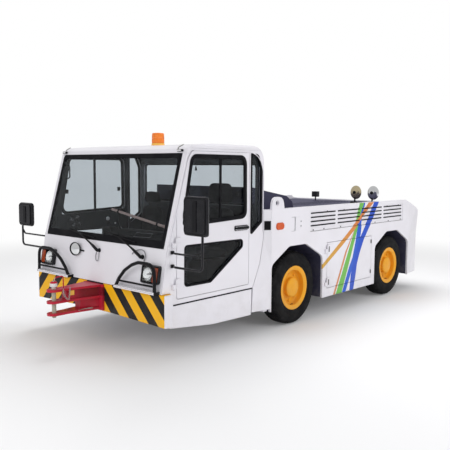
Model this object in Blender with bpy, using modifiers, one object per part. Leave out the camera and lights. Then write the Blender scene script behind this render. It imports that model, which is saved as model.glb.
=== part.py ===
"""Aircraft pushback tractor: low full-width cab in front, ballasted body behind.

Metres, +Z up. The nose points to -Y and the driver's left side is +X.
The origin is on the ground, in the middle of the overall length.
"""
import math

import bmesh
import bpy
from mathutils import Matrix, Vector

# Fits
GAP = 0.0003            # between pieces that touch
SEAM = 0.006            # round a door or a hatch
GLASS = 0.006           # thickness of a pane
PANEL = 0.030           # thickness of a body wall

# Widths, each half of the whole
BODY_HALF = 1.214       # bumper and rear body
CAB_HALF = BODY_HALF - 0.060
CAB_WALL = 0.050
GLASS_HALF = CAB_HALF - CAB_WALL - GAP

# Axles and wheels
FRONT_AXLE_Y = -0.44
WHEELBASE = 2.66
REAR_AXLE_Y = FRONT_AXLE_Y + WHEELBASE
TYRE_RADIUS = 0.49
TYRE_WIDTH = 0.26
TYRE_OUTER_X = BODY_HALF - 0.040
WHEEL_X = TYRE_OUTER_X - TYRE_WIDTH / 2
AXLE_Z = TYRE_RADIUS
RIM_RADIUS = 0.255      # where the tyre sits
FLANGE_RADIUS = 0.295
RIM_HALF_WIDTH = 0.110
RIM_WALL = 0.019
HUB_RADIUS = 0.130
HUB_REACH = 0.105       # hub face, out from the wheel's middle plane
SPINDLE_RADIUS = 0.042
BEARING_GAP = 0.0006
SPINDLE_REACH = 0.068
KINGPIN_INSET = 0.110   # kingpin, in from the wheel's middle plane
KINGPIN_RADIUS = 0.028
KINGPIN_X = WHEEL_X - KINGPIN_INSET
EYE_RADIUS = 0.045
EYE_HALF_HEIGHT = 0.070
FORK_GAP = 0.006
FORK_THICKNESS = 0.045

# Heights
BUMPER_LOW_Z = 0.390
BUMPER_TOP_Z = 0.740
NOSE_LOW_Z = BUMPER_TOP_Z + 0.005
CAB_FLOOR_Z = 0.611     # underside of the cab
FLOOR_THICKNESS = 0.040
CAB_GAP = 0.011         # dark line between the cab and what carries it
HINGE_OUT = 0.018       # hinge axis, out from the panel it carries
HINGE_RADIUS = 0.012
HINGE_HALF = 0.055      # height of each half of a hinge
HINGE_REACH = 0.055     # from the axis to the end of a strap
GLASS_LOW_Z = 1.2155
GLASS_TOP_Z = 2.2305
GUTTER_Z = 2.285
ROOF_TOP_Z = 2.345
ROOF_RADIUS = 0.200     # of the cab's rear top edge
ROOF_EDGE = 0.055       # of its side edges
BODY_LOW_Z = 0.265
BODY_TOP_Z = 1.560
DECK_Z = 1.490
DECK_THICKNESS = 0.030
COVER_TOP_Z = DECK_Z + 0.340
COVER_SKIN = 0.020

# Places along the length
BUMPER_FRONT_Y = FRONT_AXLE_Y - 2.370
BUMPER_DEPTH = 0.115
PANEL_TOP_Y = BUMPER_FRONT_Y + 0.078
PANEL_BACK_Y = BUMPER_FRONT_Y + 0.120
GLASS_LOW_Y = PANEL_TOP_Y
GLASS_TOP_Y = GLASS_LOW_Y + 0.280
CAB_REAR_Y = FRONT_AXLE_Y - 0.670
CAB_REAR_LOW_Y = CAB_REAR_Y - 0.200
CAB_WAIST_Z = 1.190
BODY_FRONT_Y = FRONT_AXLE_Y - 0.580
REAR_END_Y = REAR_AXLE_Y + 1.020
REAR_CORNER_Y = REAR_AXLE_Y + 0.630
DECK_END_Y = REAR_AXLE_Y + 0.460
HOOK_TIP_Y = BUMPER_FRONT_Y - 0.630
REAR_TIP_Y = REAR_END_Y + 0.200

# Chassis
RAIL_X = 0.360
RAIL_WIDTH = 0.120
RAIL_END_Y = REAR_AXLE_Y + 0.890
RAIL_LOW_Z = 0.620
RAIL_TOP_Z = 0.860
FRONT_RAIL_LOW_Z = 0.400
FRONT_RAIL_TOP_Z = 0.5747
MEMBER_INSET = 0.010    # how far a cross member is let into the rails

SIDES = (("left", 1), ("right", -1))
ROUND = 20              # facets of a round piece
WHEEL_STEPS = 24        # facets of a rim and its tyre

# A wheel arch, each point as (distance behind the axle, height, corner radius)
ARCH_SIDE_Z = AXLE_Z + 0.370
ARCH_TOP_Z = AXLE_Z + TYRE_RADIUS + 0.088
ARCH = (
    (-TYRE_RADIUS - 0.075, BODY_LOW_Z - 0.1, 0.0),
    (-TYRE_RADIUS - 0.075, ARCH_SIDE_Z, 0.10),
    (-0.190, ARCH_TOP_Z, 0.12),
    (0.190, ARCH_TOP_Z, 0.12),
    (TYRE_RADIUS + 0.110, ARCH_SIDE_Z, 0.10),
    (TYRE_RADIUS + 0.114, BODY_LOW_Z - 0.1, 0.0),
)
WHEELHOUSE_SKIN = 0.012

# Colours as (red, green, blue), roughness and metallic
PAINTS = {
    "white": ((0.80, 0.79, 0.84), 0.35, 0.0),
    "dark": ((0.05, 0.06, 0.10), 0.55, 0.0),
    "black": ((0.012, 0.012, 0.014), 0.5, 0.0),
    "rubber": ((0.015, 0.015, 0.016), 0.75, 0.0),
    "rim": ((0.85, 0.36, 0.03), 0.4, 0.0),
    "bumper": ((0.90, 0.45, 0.03), 0.45, 0.0),
    "red": ((0.50, 0.015, 0.03), 0.4, 0.0),
    "glass": ((0.20, 0.26, 0.28), 0.05, 0.0),
    "steel": ((0.12, 0.12, 0.13), 0.45, 0.8),
    "orange": ((0.90, 0.28, 0.02), 0.25, 0.0),
    "lamp": ((0.85, 0.85, 0.82), 0.12, 0.2),
    "seat": ((0.02, 0.02, 0.025), 0.85, 0.0),
}


# Tools


def paint(thing, colour):
    """Give an object a material of its own in one of the paints."""
    rgb, roughness, metallic = PAINTS[colour]
    material = bpy.data.materials.new(thing.name)
    material.use_nodes = True
    shader = material.node_tree.nodes["Principled BSDF"]
    shader.inputs["Base Color"].default_value = (*rgb, 1.0)
    shader.inputs["Roughness"].default_value = roughness
    shader.inputs["Metallic"].default_value = metallic
    thing.data.materials.clear()
    thing.data.materials.append(material)


def add(name, mesh, colour=None):
    """Put a mesh in the scene: a part with a colour, or a cutter without one."""
    thing = bpy.data.objects.new(name, mesh)
    if colour is None:
        CUTTERS.objects.link(thing)
        thing.hide_render = True
        thing.display_type = "WIRE"
    else:
        PARTS.objects.link(thing)
        paint(thing, colour)
    return thing


def finished(name, shape):
    """A mesh from a bmesh, with its faces pointing out."""
    bmesh.ops.remove_doubles(shape, verts=shape.verts, dist=0.00001)
    bmesh.ops.recalc_face_normals(shape, faces=shape.faces)
    mesh = bpy.data.meshes.new(name)
    shape.to_mesh(mesh)
    shape.free()
    return mesh


def evaluated(thing, name):
    """The mesh of an object with its modifiers, in world space, welded."""
    bpy.context.view_layer.update()
    view = bpy.context.evaluated_depsgraph_get()
    mesh = bpy.data.meshes.new_from_object(thing.evaluated_get(view))
    shape = bmesh.new()
    shape.from_mesh(mesh)
    shape.transform(thing.matrix_world)
    bpy.data.meshes.remove(mesh)
    return finished(name, shape)


def box_mesh(name, low, high):
    shape = bmesh.new()
    middle = (Vector(low) + Vector(high)) / 2
    size = Vector(high) - Vector(low)
    place = Matrix.Translation(middle) @ Matrix.Diagonal((*size, 1))
    bmesh.ops.create_cube(shape, size=1, matrix=place)
    return finished(name, shape)


def span(side, inner, outer):
    """The x range of a piece on one side of the vehicle, low end first."""
    return tuple(sorted((side * inner, side * outer)))


def rounded(points, steps=3):
    """An outline with arcs: each point is (a, b, corner radius)."""
    outline = []
    count = len(points)
    for index, (a, b, radius) in enumerate(points):
        corner = Vector((a, b))
        if radius == 0:
            outline.append(corner)
            continue
        before = Vector(points[index - 1][:2]) - corner
        after = Vector(points[(index + 1) % count][:2]) - corner
        half = before.angle(after) / 2
        reach = min(radius / math.tan(half), before.length / 2, after.length / 2)
        radius = reach * math.tan(half)
        to_middle = (before.normalized() + after.normalized()).normalized()
        middle = corner + to_middle * radius / math.sin(half)
        start = corner + before.normalized() * reach - middle
        end = corner + after.normalized() * reach - middle
        sweep = start.angle_signed(end)
        for step in range(steps + 1):
            turn = Matrix.Rotation(-sweep * step / steps, 2)
            outline.append(middle + turn @ start)
    return outline


# Where a flat outline's own x, y and z point, for a piece pushed along each axis
ALONG = {
    "x": Matrix(((0, 0, 1), (1, 0, 0), (0, 1, 0))).to_4x4(),
    "y": Matrix(((1, 0, 0), (0, 0, -1), (0, 1, 0))).to_4x4(),
    "z": Matrix.Identity(4),
}


def prism_mesh(name, points, axis, low, high):
    """A flat outline as thick as from low to high along an axis.

    Along x the points are (y, z), along y (x, z) and along z (x, y).
    """
    flat = bpy.data.curves.new(name, "CURVE")
    flat.dimensions = "2D"
    flat.fill_mode = "BOTH"
    flat.extrude = (high - low) / 2
    line = flat.splines.new("POLY")
    outline = rounded(points)
    line.points.add(len(outline) - 1)
    for spot, corner in zip(line.points, outline):
        spot.co = (corner[0], corner[1], 0, 1)
    line.use_cyclic_u = True
    drawn = bpy.data.objects.new(name, flat)
    CUTTERS.objects.link(drawn)
    shift = Vector((0, 0, 0))
    shift["xyz".index(axis)] = (low + high) / 2
    drawn.matrix_world = Matrix.Translation(shift) @ ALONG[axis]
    mesh = evaluated(drawn, name)
    bpy.data.objects.remove(drawn)
    bpy.data.curves.remove(flat)
    return mesh


def turned_mesh(name, profile, place, steps=ROUND, closed=False):
    """A profile of (radius, distance along) turned about its axis."""
    shape = bmesh.new()
    corners = [shape.verts.new((radius, 0, along)) for radius, along in profile]
    for first, second in zip(corners, corners[1:]):
        shape.edges.new((first, second))
    if closed:
        shape.edges.new((corners[-1], corners[0]))
    mesh = bpy.data.meshes.new(name)
    shape.to_mesh(mesh)
    shape.free()
    spun = bpy.data.objects.new(name, mesh)
    CUTTERS.objects.link(spun)
    screw = spun.modifiers.new("turn", "SCREW")
    screw.steps = steps
    screw.render_steps = steps
    screw.use_merge_vertices = True
    screw.merge_threshold = 0.00001
    spun.matrix_world = place
    result = evaluated(spun, name)
    bpy.data.objects.remove(spun)
    bpy.data.meshes.remove(mesh)
    return result


def axis_place(axis, centre):
    """Lay a turned piece's axis along x, y or z, at a centre."""
    turns = {
        "x": Matrix.Rotation(math.radians(90), 4, "Y"),
        "-x": Matrix.Rotation(math.radians(-90), 4, "Y"),
        "y": Matrix.Rotation(math.radians(-90), 4, "X"),
        "z": Matrix.Identity(4),
    }
    return Matrix.Translation(centre) @ turns[axis]


def rod_mesh(name, radius, axis, centre, low, high, steps=ROUND):
    """A plain cylinder along an axis, from low to high past its centre."""
    profile = ((0, low), (radius, low), (radius, high), (0, high))
    return turned_mesh(name, profile, axis_place(axis, centre), steps)


def bent_path(points, bend, steps=5):
    """A path in space whose inner corners are arcs of one radius."""
    path = [Vector(points[0])]
    for before, corner, after in zip(points, points[1:], points[2:]):
        corner = Vector(corner)
        back = Vector(before) - corner
        onward = Vector(after) - corner
        half = back.angle(onward) / 2
        reach = min(bend / math.tan(half), back.length / 2.1, onward.length / 2.1)
        start = corner + back.normalized() * reach
        end = corner + onward.normalized() * reach
        for step in range(steps + 1):
            share = step / steps
            path.append(
                start * (1 - share) ** 2 + corner * 2 * share * (1 - share) + end * share**2
            )
    path.append(Vector(points[-1]))
    return path


def tube_mesh(name, points, radius, bend=0.05, resolution=2):
    """A bent round bar through a few points."""
    wire = bpy.data.curves.new(name, "CURVE")
    wire.dimensions = "3D"
    wire.bevel_depth = radius
    wire.bevel_resolution = resolution
    wire.use_fill_caps = True
    path = bent_path(points, bend)
    line = wire.splines.new("POLY")
    line.points.add(len(path) - 1)
    for spot, place in zip(line.points, path):
        spot.co = (*place, 1)
    drawn = bpy.data.objects.new(name, wire)
    CUTTERS.objects.link(drawn)
    mesh = evaluated(drawn, name)
    bpy.data.objects.remove(drawn)
    bpy.data.curves.remove(wire)
    return mesh


def combine(thing, tool, operation):
    """Live Boolean with a tool that stays among the cutters."""
    change = thing.modifiers.new(operation.lower(), "BOOLEAN")
    change.operation = operation
    change.solver = "EXACT"
    change.object = tool


def cut(thing, mesh):
    combine(thing, add(thing.name + "_cut", mesh), "DIFFERENCE")


def join(thing, mesh):
    combine(thing, add(thing.name + "_join", mesh), "UNION")


def soften(thing, width, segments=2, angle=40):
    """Round an object's sharp edges."""
    bevel = thing.modifiers.new("edges", "BEVEL")
    bevel.width = width
    bevel.segments = segments
    bevel.limit_method = "ANGLE"
    bevel.angle_limit = math.radians(angle)


def many(name, meshes):
    """Several closed shapes in one mesh, as one cutter."""
    shape = bmesh.new()
    for mesh in meshes:
        shape.from_mesh(mesh)
    mesh = bpy.data.meshes.new(name)
    shape.to_mesh(mesh)
    shape.free()
    return mesh


def grown(points, edge):
    """A closed outline moved out by an edge, each corner along its bisector."""
    result = []
    count = len(points)
    turning = sum(
        points[i - 1][0] * points[i][1] - points[i][0] * points[i - 1][1] for i in range(count)
    )
    side = 1 if turning > 0 else -1
    for index, (a, b, radius) in enumerate(points):
        corner = Vector((a, b))
        back = (corner - Vector(points[index - 1][:2])).normalized()
        onward = (Vector(points[(index + 1) % count][:2]) - corner).normalized()
        normal = Vector((back.y + onward.y, -back.x - onward.x)).normalized() * side
        half = back.angle(onward) / 2
        moved = corner + normal * edge / math.cos(half)
        result.append((moved.x, moved.y, max(radius + edge, 0) if radius else 0))
    return result


def hinge(leaf, frame, side, face_x, axis_y, z):
    """Two barrels on one upright axis: the frame's below, the moving leaf's above."""
    axis_x = face_x + HINGE_OUT
    thickness = HINGE_RADIUS * 0.8
    for thing, low_z, reach in ((frame, z - HINGE_HALF, -HINGE_REACH), (leaf, z, HINGE_REACH + 0.010)):
        high_z = low_z + HINGE_HALF - GAP
        centre = (side * axis_x, axis_y, 0)
        join(thing, rod_mesh("barrel", HINGE_RADIUS, "z", centre, low_z, high_z, 12))
        low_x, high_x = span(side, axis_x - thickness / 2, axis_x + thickness / 2)
        low_y, high_y = sorted((axis_y, axis_y + reach))
        join(thing, box_mesh("strap", (low_x, low_y, low_z), (high_x, high_y, high_z)))
        low_x, high_x = span(side, face_x - 0.005, axis_x)
        low_y, high_y = sorted((axis_y + reach * 0.55, axis_y + reach))
        join(thing, box_mesh("foot", (low_x, low_y, low_z), (high_x, high_y, high_z)))


# Wheels and axles


def rim(name, side, axle_y):
    """Dished disc wheel with a raised hub, its bore closed at the outer face."""
    inner = RIM_RADIUS - RIM_WALL
    lip = RIM_HALF_WIDTH + 0.012
    bore = SPINDLE_RADIUS + BEARING_GAP
    profile = (
        (0, HUB_REACH),
        (HUB_RADIUS - 0.012, HUB_REACH),
        (HUB_RADIUS, HUB_REACH - 0.010),
        (HUB_RADIUS, 0.040),
        (0.165, 0.028),
        (inner - 0.016, 0.028),
        (inner, 0.050),
        (inner, RIM_HALF_WIDTH - 0.005),
        (FLANGE_RADIUS - 0.022, lip),
        (FLANGE_RADIUS - 0.006, lip),
        (FLANGE_RADIUS, lip - 0.004),
        (FLANGE_RADIUS, RIM_HALF_WIDTH),
        (RIM_RADIUS, RIM_HALF_WIDTH),
        (RIM_RADIUS, -RIM_HALF_WIDTH),
        (FLANGE_RADIUS, -RIM_HALF_WIDTH),
        (FLANGE_RADIUS, -lip),
        (inner, -lip),
        (inner, 0.010),
        (0.165, 0.004),
        (0.100, 0.004),
        (0.095, -0.018),
        (bore, -0.018),
        (bore, SPINDLE_REACH + 0.004),
        (0, SPINDLE_REACH + 0.004),
    )
    place = axis_place("x" if side > 0 else "-x", (side * WHEEL_X, axle_y, AXLE_Z))
    return add(name, turned_mesh(name, profile, place, WHEEL_STEPS), "rim")


def tyre(name, side, axle_y):
    """Plain tyre with round shoulders, seated on the rim between its flanges."""
    seat = RIM_RADIUS + GAP
    bead = RIM_HALF_WIDTH - GAP
    over = FLANGE_RADIUS + GAP
    half = TYRE_WIDTH / 2
    crown = TYRE_RADIUS
    outer = (
        (over, half * 0.93),
        (over + 0.050, half),
        (crown - 0.085, half * 0.985),
        (crown - 0.040, half * 0.89),
        (crown - 0.014, half * 0.76),
        (crown - 0.003, half * 0.50),
        (crown, 0),
    )
    upper = [(seat, bead), (over, bead), *outer]
    lower = [(radius, -along) for radius, along in reversed(upper[:-1])]
    place = axis_place("x" if side > 0 else "-x", (side * WHEEL_X, axle_y, AXLE_Z))
    mesh = turned_mesh(name, [*upper, *lower], place, WHEEL_STEPS, closed=True)
    return add(name, mesh, "rubber")


def knuckle(name, side):
    """Steering fork, kingpin and spindle in one forging."""
    arm_low = EYE_HALF_HEIGHT + FORK_GAP
    arm_high = arm_low + FORK_THICKNESS
    plate = (WHEEL_X - 0.055, WHEEL_X - 0.026)
    centre = (side * KINGPIN_X, FRONT_AXLE_Y, AXLE_Z)
    low_x, high_x = span(side, *plate)
    thing = add(
        name,
        box_mesh(
            name,
            (low_x, FRONT_AXLE_Y - 0.065, AXLE_Z - arm_high),
            (high_x, FRONT_AXLE_Y + 0.065, AXLE_Z + arm_high),
        ),
        "steel",
    )
    low_x, high_x = span(side, KINGPIN_X - 0.045, WHEEL_X - 0.040)
    for low_z, high_z in ((-arm_high, -arm_low), (arm_low, arm_high)):
        low = (low_x, FRONT_AXLE_Y - 0.050, AXLE_Z + low_z)
        high = (high_x, FRONT_AXLE_Y + 0.050, AXLE_Z + high_z)
        join(thing, box_mesh("arm", low, high))
    pin_end = arm_high + 0.015
    join(thing, rod_mesh("pin", KINGPIN_RADIUS, "z", centre, -pin_end, pin_end))
    hub = (side * WHEEL_X, FRONT_AXLE_Y, AXLE_Z)
    along = "x" if side > 0 else "-x"
    join(thing, rod_mesh("spindle", SPINDLE_RADIUS, along, hub, -0.040, SPINDLE_REACH))
    return thing


def front_axle():
    """Beam with an eye for each kingpin, on pads under the rails."""
    beam = KINGPIN_X - KINGPIN_RADIUS - BEARING_GAP - 0.006
    low = (-beam, FRONT_AXLE_Y - 0.050, AXLE_Z - 0.058)
    high = (beam, FRONT_AXLE_Y + 0.050, AXLE_Z + 0.058)
    thing = add("front_axle", box_mesh("front_axle", low, high), "steel")
    bores = []
    for _, side in SIDES:
        centre = (side * KINGPIN_X, FRONT_AXLE_Y, AXLE_Z)
        join(thing, rod_mesh("eye", EYE_RADIUS, "z", centre, -EYE_HALF_HEIGHT, EYE_HALF_HEIGHT))
        axle_pad(thing, side, FRONT_AXLE_Y)
        bores.append(rod_mesh("bore", KINGPIN_RADIUS + BEARING_GAP, "z", centre, -0.1, 0.1))
    cut(thing, many("bores", bores))
    return thing


def axle_pad(thing, side, axle_y):
    low_x, high_x = span(side, RAIL_X, RAIL_X + RAIL_WIDTH)
    low = (low_x, axle_y - 0.090, AXLE_Z - 0.010)
    high = (high_x, axle_y + 0.090, RAIL_LOW_Z - GAP)
    join(thing, box_mesh("pad", low, high))


def rear_axle():
    """Drive axle: round differential case, tubes and spindles."""
    end = WHEEL_X - 0.026
    tip = WHEEL_X + SPINDLE_REACH
    half = (
        (0.190, 0.060),
        (0.165, 0.120),
        (0.090, 0.200),
        (0.072, 0.260),
        (0.072, end - 0.030),
        (0.090, end - 0.030),
        (0.090, end),
        (SPINDLE_RADIUS, end),
        (SPINDLE_RADIUS, tip),
        (0, tip),
    )
    profile = [(radius, -along) for radius, along in reversed(half)] + list(half)
    middle = (0, REAR_AXLE_Y, AXLE_Z)
    thing = add("rear_axle", turned_mesh("rear_axle", profile, axis_place("x", middle)), "steel")
    for _, side in SIDES:
        axle_pad(thing, side, REAR_AXLE_Y)
    return thing


def chassis_frame():
    """Two rails with a drop under the cab, cross members and a ballast slab."""
    front = BUMPER_FRONT_Y + BUMPER_DEPTH + GAP
    rear = RAIL_END_Y - GAP
    drop_y = BODY_FRONT_Y - 0.060
    rail = (
        (front, FRONT_RAIL_LOW_Z, 0),
        (drop_y - 0.120, FRONT_RAIL_LOW_Z, 0.05),
        (drop_y + 0.250, RAIL_LOW_Z, 0.05),
        (rear, RAIL_LOW_Z, 0),
        (rear, RAIL_TOP_Z, 0),
        (drop_y + 0.100, RAIL_TOP_Z, 0.05),
        (drop_y - 0.200, FRONT_RAIL_TOP_Z, 0.03),
        (front, FRONT_RAIL_TOP_Z, 0),
    )
    outer = RAIL_X + RAIL_WIDTH
    thing = add("chassis_frame", prism_mesh("rail", rail, "x", RAIL_X, outer), "dark")
    join(thing, prism_mesh("rail", rail, "x", -outer, -RAIL_X))
    low_front = FRONT_RAIL_LOW_Z + MEMBER_INSET
    high_front = FRONT_RAIL_TOP_Z - MEMBER_INSET
    low_rear = RAIL_LOW_Z + MEMBER_INSET
    high_rear = RAIL_TOP_Z - MEMBER_INSET
    # Cross members: front y, depth, low z, high z
    members = (
        (front + 0.050, 0.200, low_front, high_front),
        (CAB_REAR_LOW_Y - 0.250, 0.160, low_front, high_front),
        (FRONT_AXLE_Y + 0.300, 0.140, low_rear, high_rear),
        (REAR_AXLE_Y - 0.500, 0.140, low_rear, high_rear),
        (REAR_AXLE_Y + 0.350, 0.500, low_rear - 0.160, high_rear),
    )
    reach = RAIL_X + MEMBER_INSET
    for start, depth, low_z, high_z in members:
        join(thing, box_mesh("member", (-reach, start, low_z), (reach, start + depth, high_z)))
    reach = BODY_HALF - PANEL - 0.104
    low = (-reach, FRONT_AXLE_Y + 0.700, BODY_LOW_Z + 0.035)
    high = (reach, REAR_AXLE_Y - 0.700, RAIL_LOW_Z + MEMBER_INSET)
    join(thing, box_mesh("ballast", low, high))
    return thing


def engine_block():
    half = RAIL_X + RAIL_WIDTH - 0.030
    low = (-half, FRONT_AXLE_Y + 0.350, RAIL_TOP_Z + GAP)
    high = (half, REAR_AXLE_Y - 0.800, DECK_Z - DECK_THICKNESS - 0.080)
    return add("engine_block", box_mesh("engine_block", low, high), "steel")


# Rear body


def arch_outline(axle_y):
    return [(axle_y + behind, height, radius) for behind, height, radius in ARCH]


HATCH = (FRONT_AXLE_Y + 0.71, REAR_AXLE_Y - 0.68, 0.385, 1.040)
LOUVRE = (FRONT_AXLE_Y + 0.28, REAR_AXLE_Y + 0.37, 1.222, 1.500)
HATCH_AXIS_Y = HATCH[0] - 0.008
HATCH_HINGES_Z = (0.480, 0.950)
LOUVRE_FACE_X = BODY_HALF - 0.008
LOUVRE_COUNT = 4        # columns, and hoods in each
LOUVRE_EDGE = 0.050     # plain strip round each hood
HOOD_HEIGHT = 0.032
LUG_Y = BODY_FRONT_Y + 0.120
LUG_HEIGHT = 0.155
SHOULDER_Z = BODY_TOP_Z - 0.052
LINER_X = RAIL_X + RAIL_WIDTH + 0.040
COAMING_WIDTH = 0.090
SIDE_REAR_Y = REAR_CORNER_Y - 0.005
CORNER_Z = 0.950        # where the cut rear corner starts to lean out
CORNER_X = BODY_HALF - 0.056
CORNER_TOP_Y = REAR_END_Y - 0.170
REAR_TOP_Z = SHOULDER_Z - 0.136


def rear_side(name, side):
    """Side wall with its arches, hatchway, vent hoods, coaming and lifting lug."""
    inner = BODY_HALF - PANEL
    low_x, high_x = span(side, inner, BODY_HALF)
    front = BODY_FRONT_Y + GAP
    lug_top = BODY_TOP_Z + LUG_HEIGHT
    wall = (
        (front, BODY_LOW_Z, 0),
        (SIDE_REAR_Y, BODY_LOW_Z, 0),
        (SIDE_REAR_Y, SHOULDER_Z, 0),
        (DECK_END_Y, BODY_TOP_Z, 0),
        (LUG_Y + 0.150, BODY_TOP_Z, 0),
        (LUG_Y + 0.120, lug_top, 0.10),
        (LUG_Y - 0.100, lug_top, 0.10),
        (LUG_Y - 0.115, BODY_TOP_Z, 0),
        (front, BODY_TOP_Z, 0),
    )
    thing = add(name, prism_mesh(name, wall, "x", low_x, high_x), "white")
    front_y, rear_y, low_z, high_z = LOUVRE
    recess_low, recess_high = span(side, LOUVRE_FACE_X, BODY_HALF + 0.1)
    cut(thing, box_mesh("recess", (recess_low, front_y, low_z), (recess_high, rear_y, high_z)))
    rail_low_x, rail_high_x = span(side, BODY_HALF - COAMING_WIDTH, BODY_HALF - 0.001)
    low = (rail_low_x, front + 0.020, DECK_Z + GAP)
    high = (rail_high_x, DECK_END_Y, BODY_TOP_Z - 0.001)
    join(thing, box_mesh("coaming", low, high))
    hoods, holes = louvres(side)
    join(thing, many("hoods", hoods))
    eye = (side * BODY_HALF, LUG_Y, BODY_TOP_Z + LUG_HEIGHT / 2)
    holes.append(rod_mesh("eye", 0.034, "x", eye, -0.1, 0.1))
    low_x, high_x = span(side, inner - 0.1, BODY_HALF + 0.1)
    for axle_y in (FRONT_AXLE_Y, REAR_AXLE_Y):
        holes.append(prism_mesh("arch", arch_outline(axle_y), "x", low_x, high_x))
    front_y, rear_y, low_z, high_z = HATCH
    holes.append(box_mesh("hatchway", (low_x, front_y, low_z), (high_x, rear_y, high_z)))
    cut(thing, many("holes", holes))
    return thing


def wheelhouse(name, side, axle_y):
    """Liner that follows a wheel arch from the side wall in to the frame."""
    low_x, high_x = span(side, LINER_X, BODY_HALF - PANEL - GAP)
    outline = arch_outline(axle_y)
    skin = grown(outline, WHEELHOUSE_SKIN)
    for end in (0, -1):
        skin[end] = (skin[end][0], BODY_LOW_Z + 0.010, 0)
    thing = add(name, prism_mesh(name, skin, "x", low_x, high_x), "dark")
    cut(thing, prism_mesh("arch", outline, "x", low_x - 0.1, high_x + 0.1))
    return thing


def louvres(side):
    """Pressed hoods of the vent panel, and the slots under them."""
    front_y, rear_y, low_z, high_z = LOUVRE
    face = LOUVRE_FACE_X
    pitch_y = (rear_y - front_y) / LOUVRE_COUNT
    pitch_z = (high_z - low_z - LOUVRE_EDGE) / LOUVRE_COUNT
    root = side * (face - 0.004)
    hoods = []
    slots = []
    for column in range(LOUVRE_COUNT):
        start = front_y + pitch_y * column + LOUVRE_EDGE
        end = front_y + pitch_y * (column + 1) - LOUVRE_EDGE
        for row in range(LOUVRE_COUNT):
            foot = low_z + LOUVRE_EDGE * 0.85 + pitch_z * row
            hood = (
                (root, foot, 0),
                (side * (BODY_HALF - 0.001), foot, 0),
                (root, foot + HOOD_HEIGHT, 0),
            )
            hoods.append(prism_mesh("hood", hood, "y", start, end))
            slot_low, slot_high = span(side, BODY_HALF - PANEL - 0.1, face - 0.001)
            low = (slot_low, start + 0.010, foot + 0.004)
            high = (slot_high, end - 0.010, foot + HOOD_HEIGHT / 2)
            slots.append(box_mesh("slot", low, high))
    return hoods, slots


def side_hatch(name, side):
    """Door of the side locker, hinged at its front edge."""
    front_y, rear_y, low_z, high_z = HATCH
    low_x, high_x = span(side, BODY_HALF - PANEL, BODY_HALF)
    low = (low_x, front_y + SEAM, low_z + SEAM)
    high = (high_x, rear_y - SEAM, high_z - SEAM)
    return add(name, box_mesh(name, low, high), "white")


def rear_shell(inset):
    """The rear end's block; moved in, it is what the shell is hollowed with."""
    deep = 1.0 if inset else 0.0    # the hollow runs out below and in front
    half = BODY_HALF - inset
    back = REAR_END_Y - inset
    front = SIDE_REAR_Y + GAP - deep
    floor = BODY_LOW_Z + 0.015 - deep
    fall = (SHOULDER_Z - REAR_TOP_Z) / (REAR_END_Y - 0.030 - SIDE_REAR_Y)
    outline = (
        (front, floor, 0),
        (back, floor, 0),
        (back, REAR_TOP_Z - 0.050 - inset, 0.020),
        (back - 0.030, REAR_TOP_Z - inset, 0.020),
        (front, SHOULDER_Z - inset + fall * deep, 0),
    )
    return prism_mesh("rear_end", outline, "x", -half, half)


def rear_corner(side, inset):
    """What is cut off a rear corner: upright below, leaning out above."""
    ahead = Vector((side * (BODY_HALF - inset), REAR_CORNER_Y, CORNER_Z))
    behind = Vector((side * (CORNER_X - inset), REAR_END_Y, CORNER_Z))
    top = Vector((side * (BODY_HALF - inset), CORNER_TOP_Y, REAR_TOP_Z + 0.011))
    outward = Vector((side, 1, 0))
    lower = (behind - ahead).cross(Vector((0, 0, 1)))
    upper = (behind - ahead).cross(top - ahead)
    shape = bmesh.new()
    place = Matrix.Translation((side * BODY_HALF, REAR_END_Y, CORNER_Z))
    bmesh.ops.create_cube(shape, size=3, matrix=place)
    for normal in (lower, upper):
        if normal.dot(outward) < 0:
            normal.negate()
        everything = [*shape.verts, *shape.edges, *shape.faces]
        edge = bmesh.ops.bisect_plane(
            shape, geom=everything, plane_co=ahead, plane_no=normal, clear_inner=True
        )
        rim_edges = [e for e in edge["geom_cut"] if isinstance(e, bmesh.types.BMEdge)]
        bmesh.ops.contextual_create(shape, geom=rim_edges)
    return finished("corner", shape)


def rear_end():
    """Closed rear shell with cut-off corners, a sloping top and two pads for the rails."""
    thing = add("rear_end", rear_shell(0), "white")
    hollow = add("rear_end_hollow", rear_shell(PANEL))
    for _, side in SIDES:
        cut(thing, rear_corner(side, 0))
        cut(hollow, rear_corner(side, PANEL))
    combine(thing, hollow, "DIFFERENCE")
    for _, side in SIDES:
        low_x, high_x = span(side, RAIL_X, RAIL_X + RAIL_WIDTH)
        low = (low_x, RAIL_END_Y, RAIL_LOW_Z)
        high = (high_x, REAR_END_Y - PANEL / 2, RAIL_TOP_Z)
        join(thing, box_mesh("pad", low, high))
    return thing


def deck_plate():
    """Deck floor between the sides, with the sloping cover behind the cab."""
    half = BODY_HALF - PANEL - GAP
    front = BODY_FRONT_Y + GAP
    low = (-half, front, DECK_Z - DECK_THICKNESS)
    thing = add("deck_plate", box_mesh("deck_plate", low, (half, SIDE_REAR_Y, DECK_Z)), "dark")
    low_z = DECK_Z - DECK_THICKNESS / 2
    outline = (
        (front, low_z, 0),
        (BODY_FRONT_Y + 0.920, low_z, 0),
        (BODY_FRONT_Y + 0.870, DECK_Z + 0.130, 0.03),
        (BODY_FRONT_Y + 0.740, DECK_Z + 0.210, 0.05),
        (BODY_FRONT_Y + 0.250, COVER_TOP_Z - 0.048, 0.10),
        (front, COVER_TOP_Z, 0),
    )
    half = BODY_HALF - 0.314
    join(thing, prism_mesh("cover", outline, "x", -half, half))
    inside = grown([(y, z, 0) for y, z, _ in outline], -COVER_SKIN)
    for end in (0, 1):
        inside[end] = (inside[end][0], DECK_Z - 0.1, 0)
    cut(thing, prism_mesh("inside", inside, "x", COVER_SKIN - half, half - COVER_SKIN))
    return thing


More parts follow.
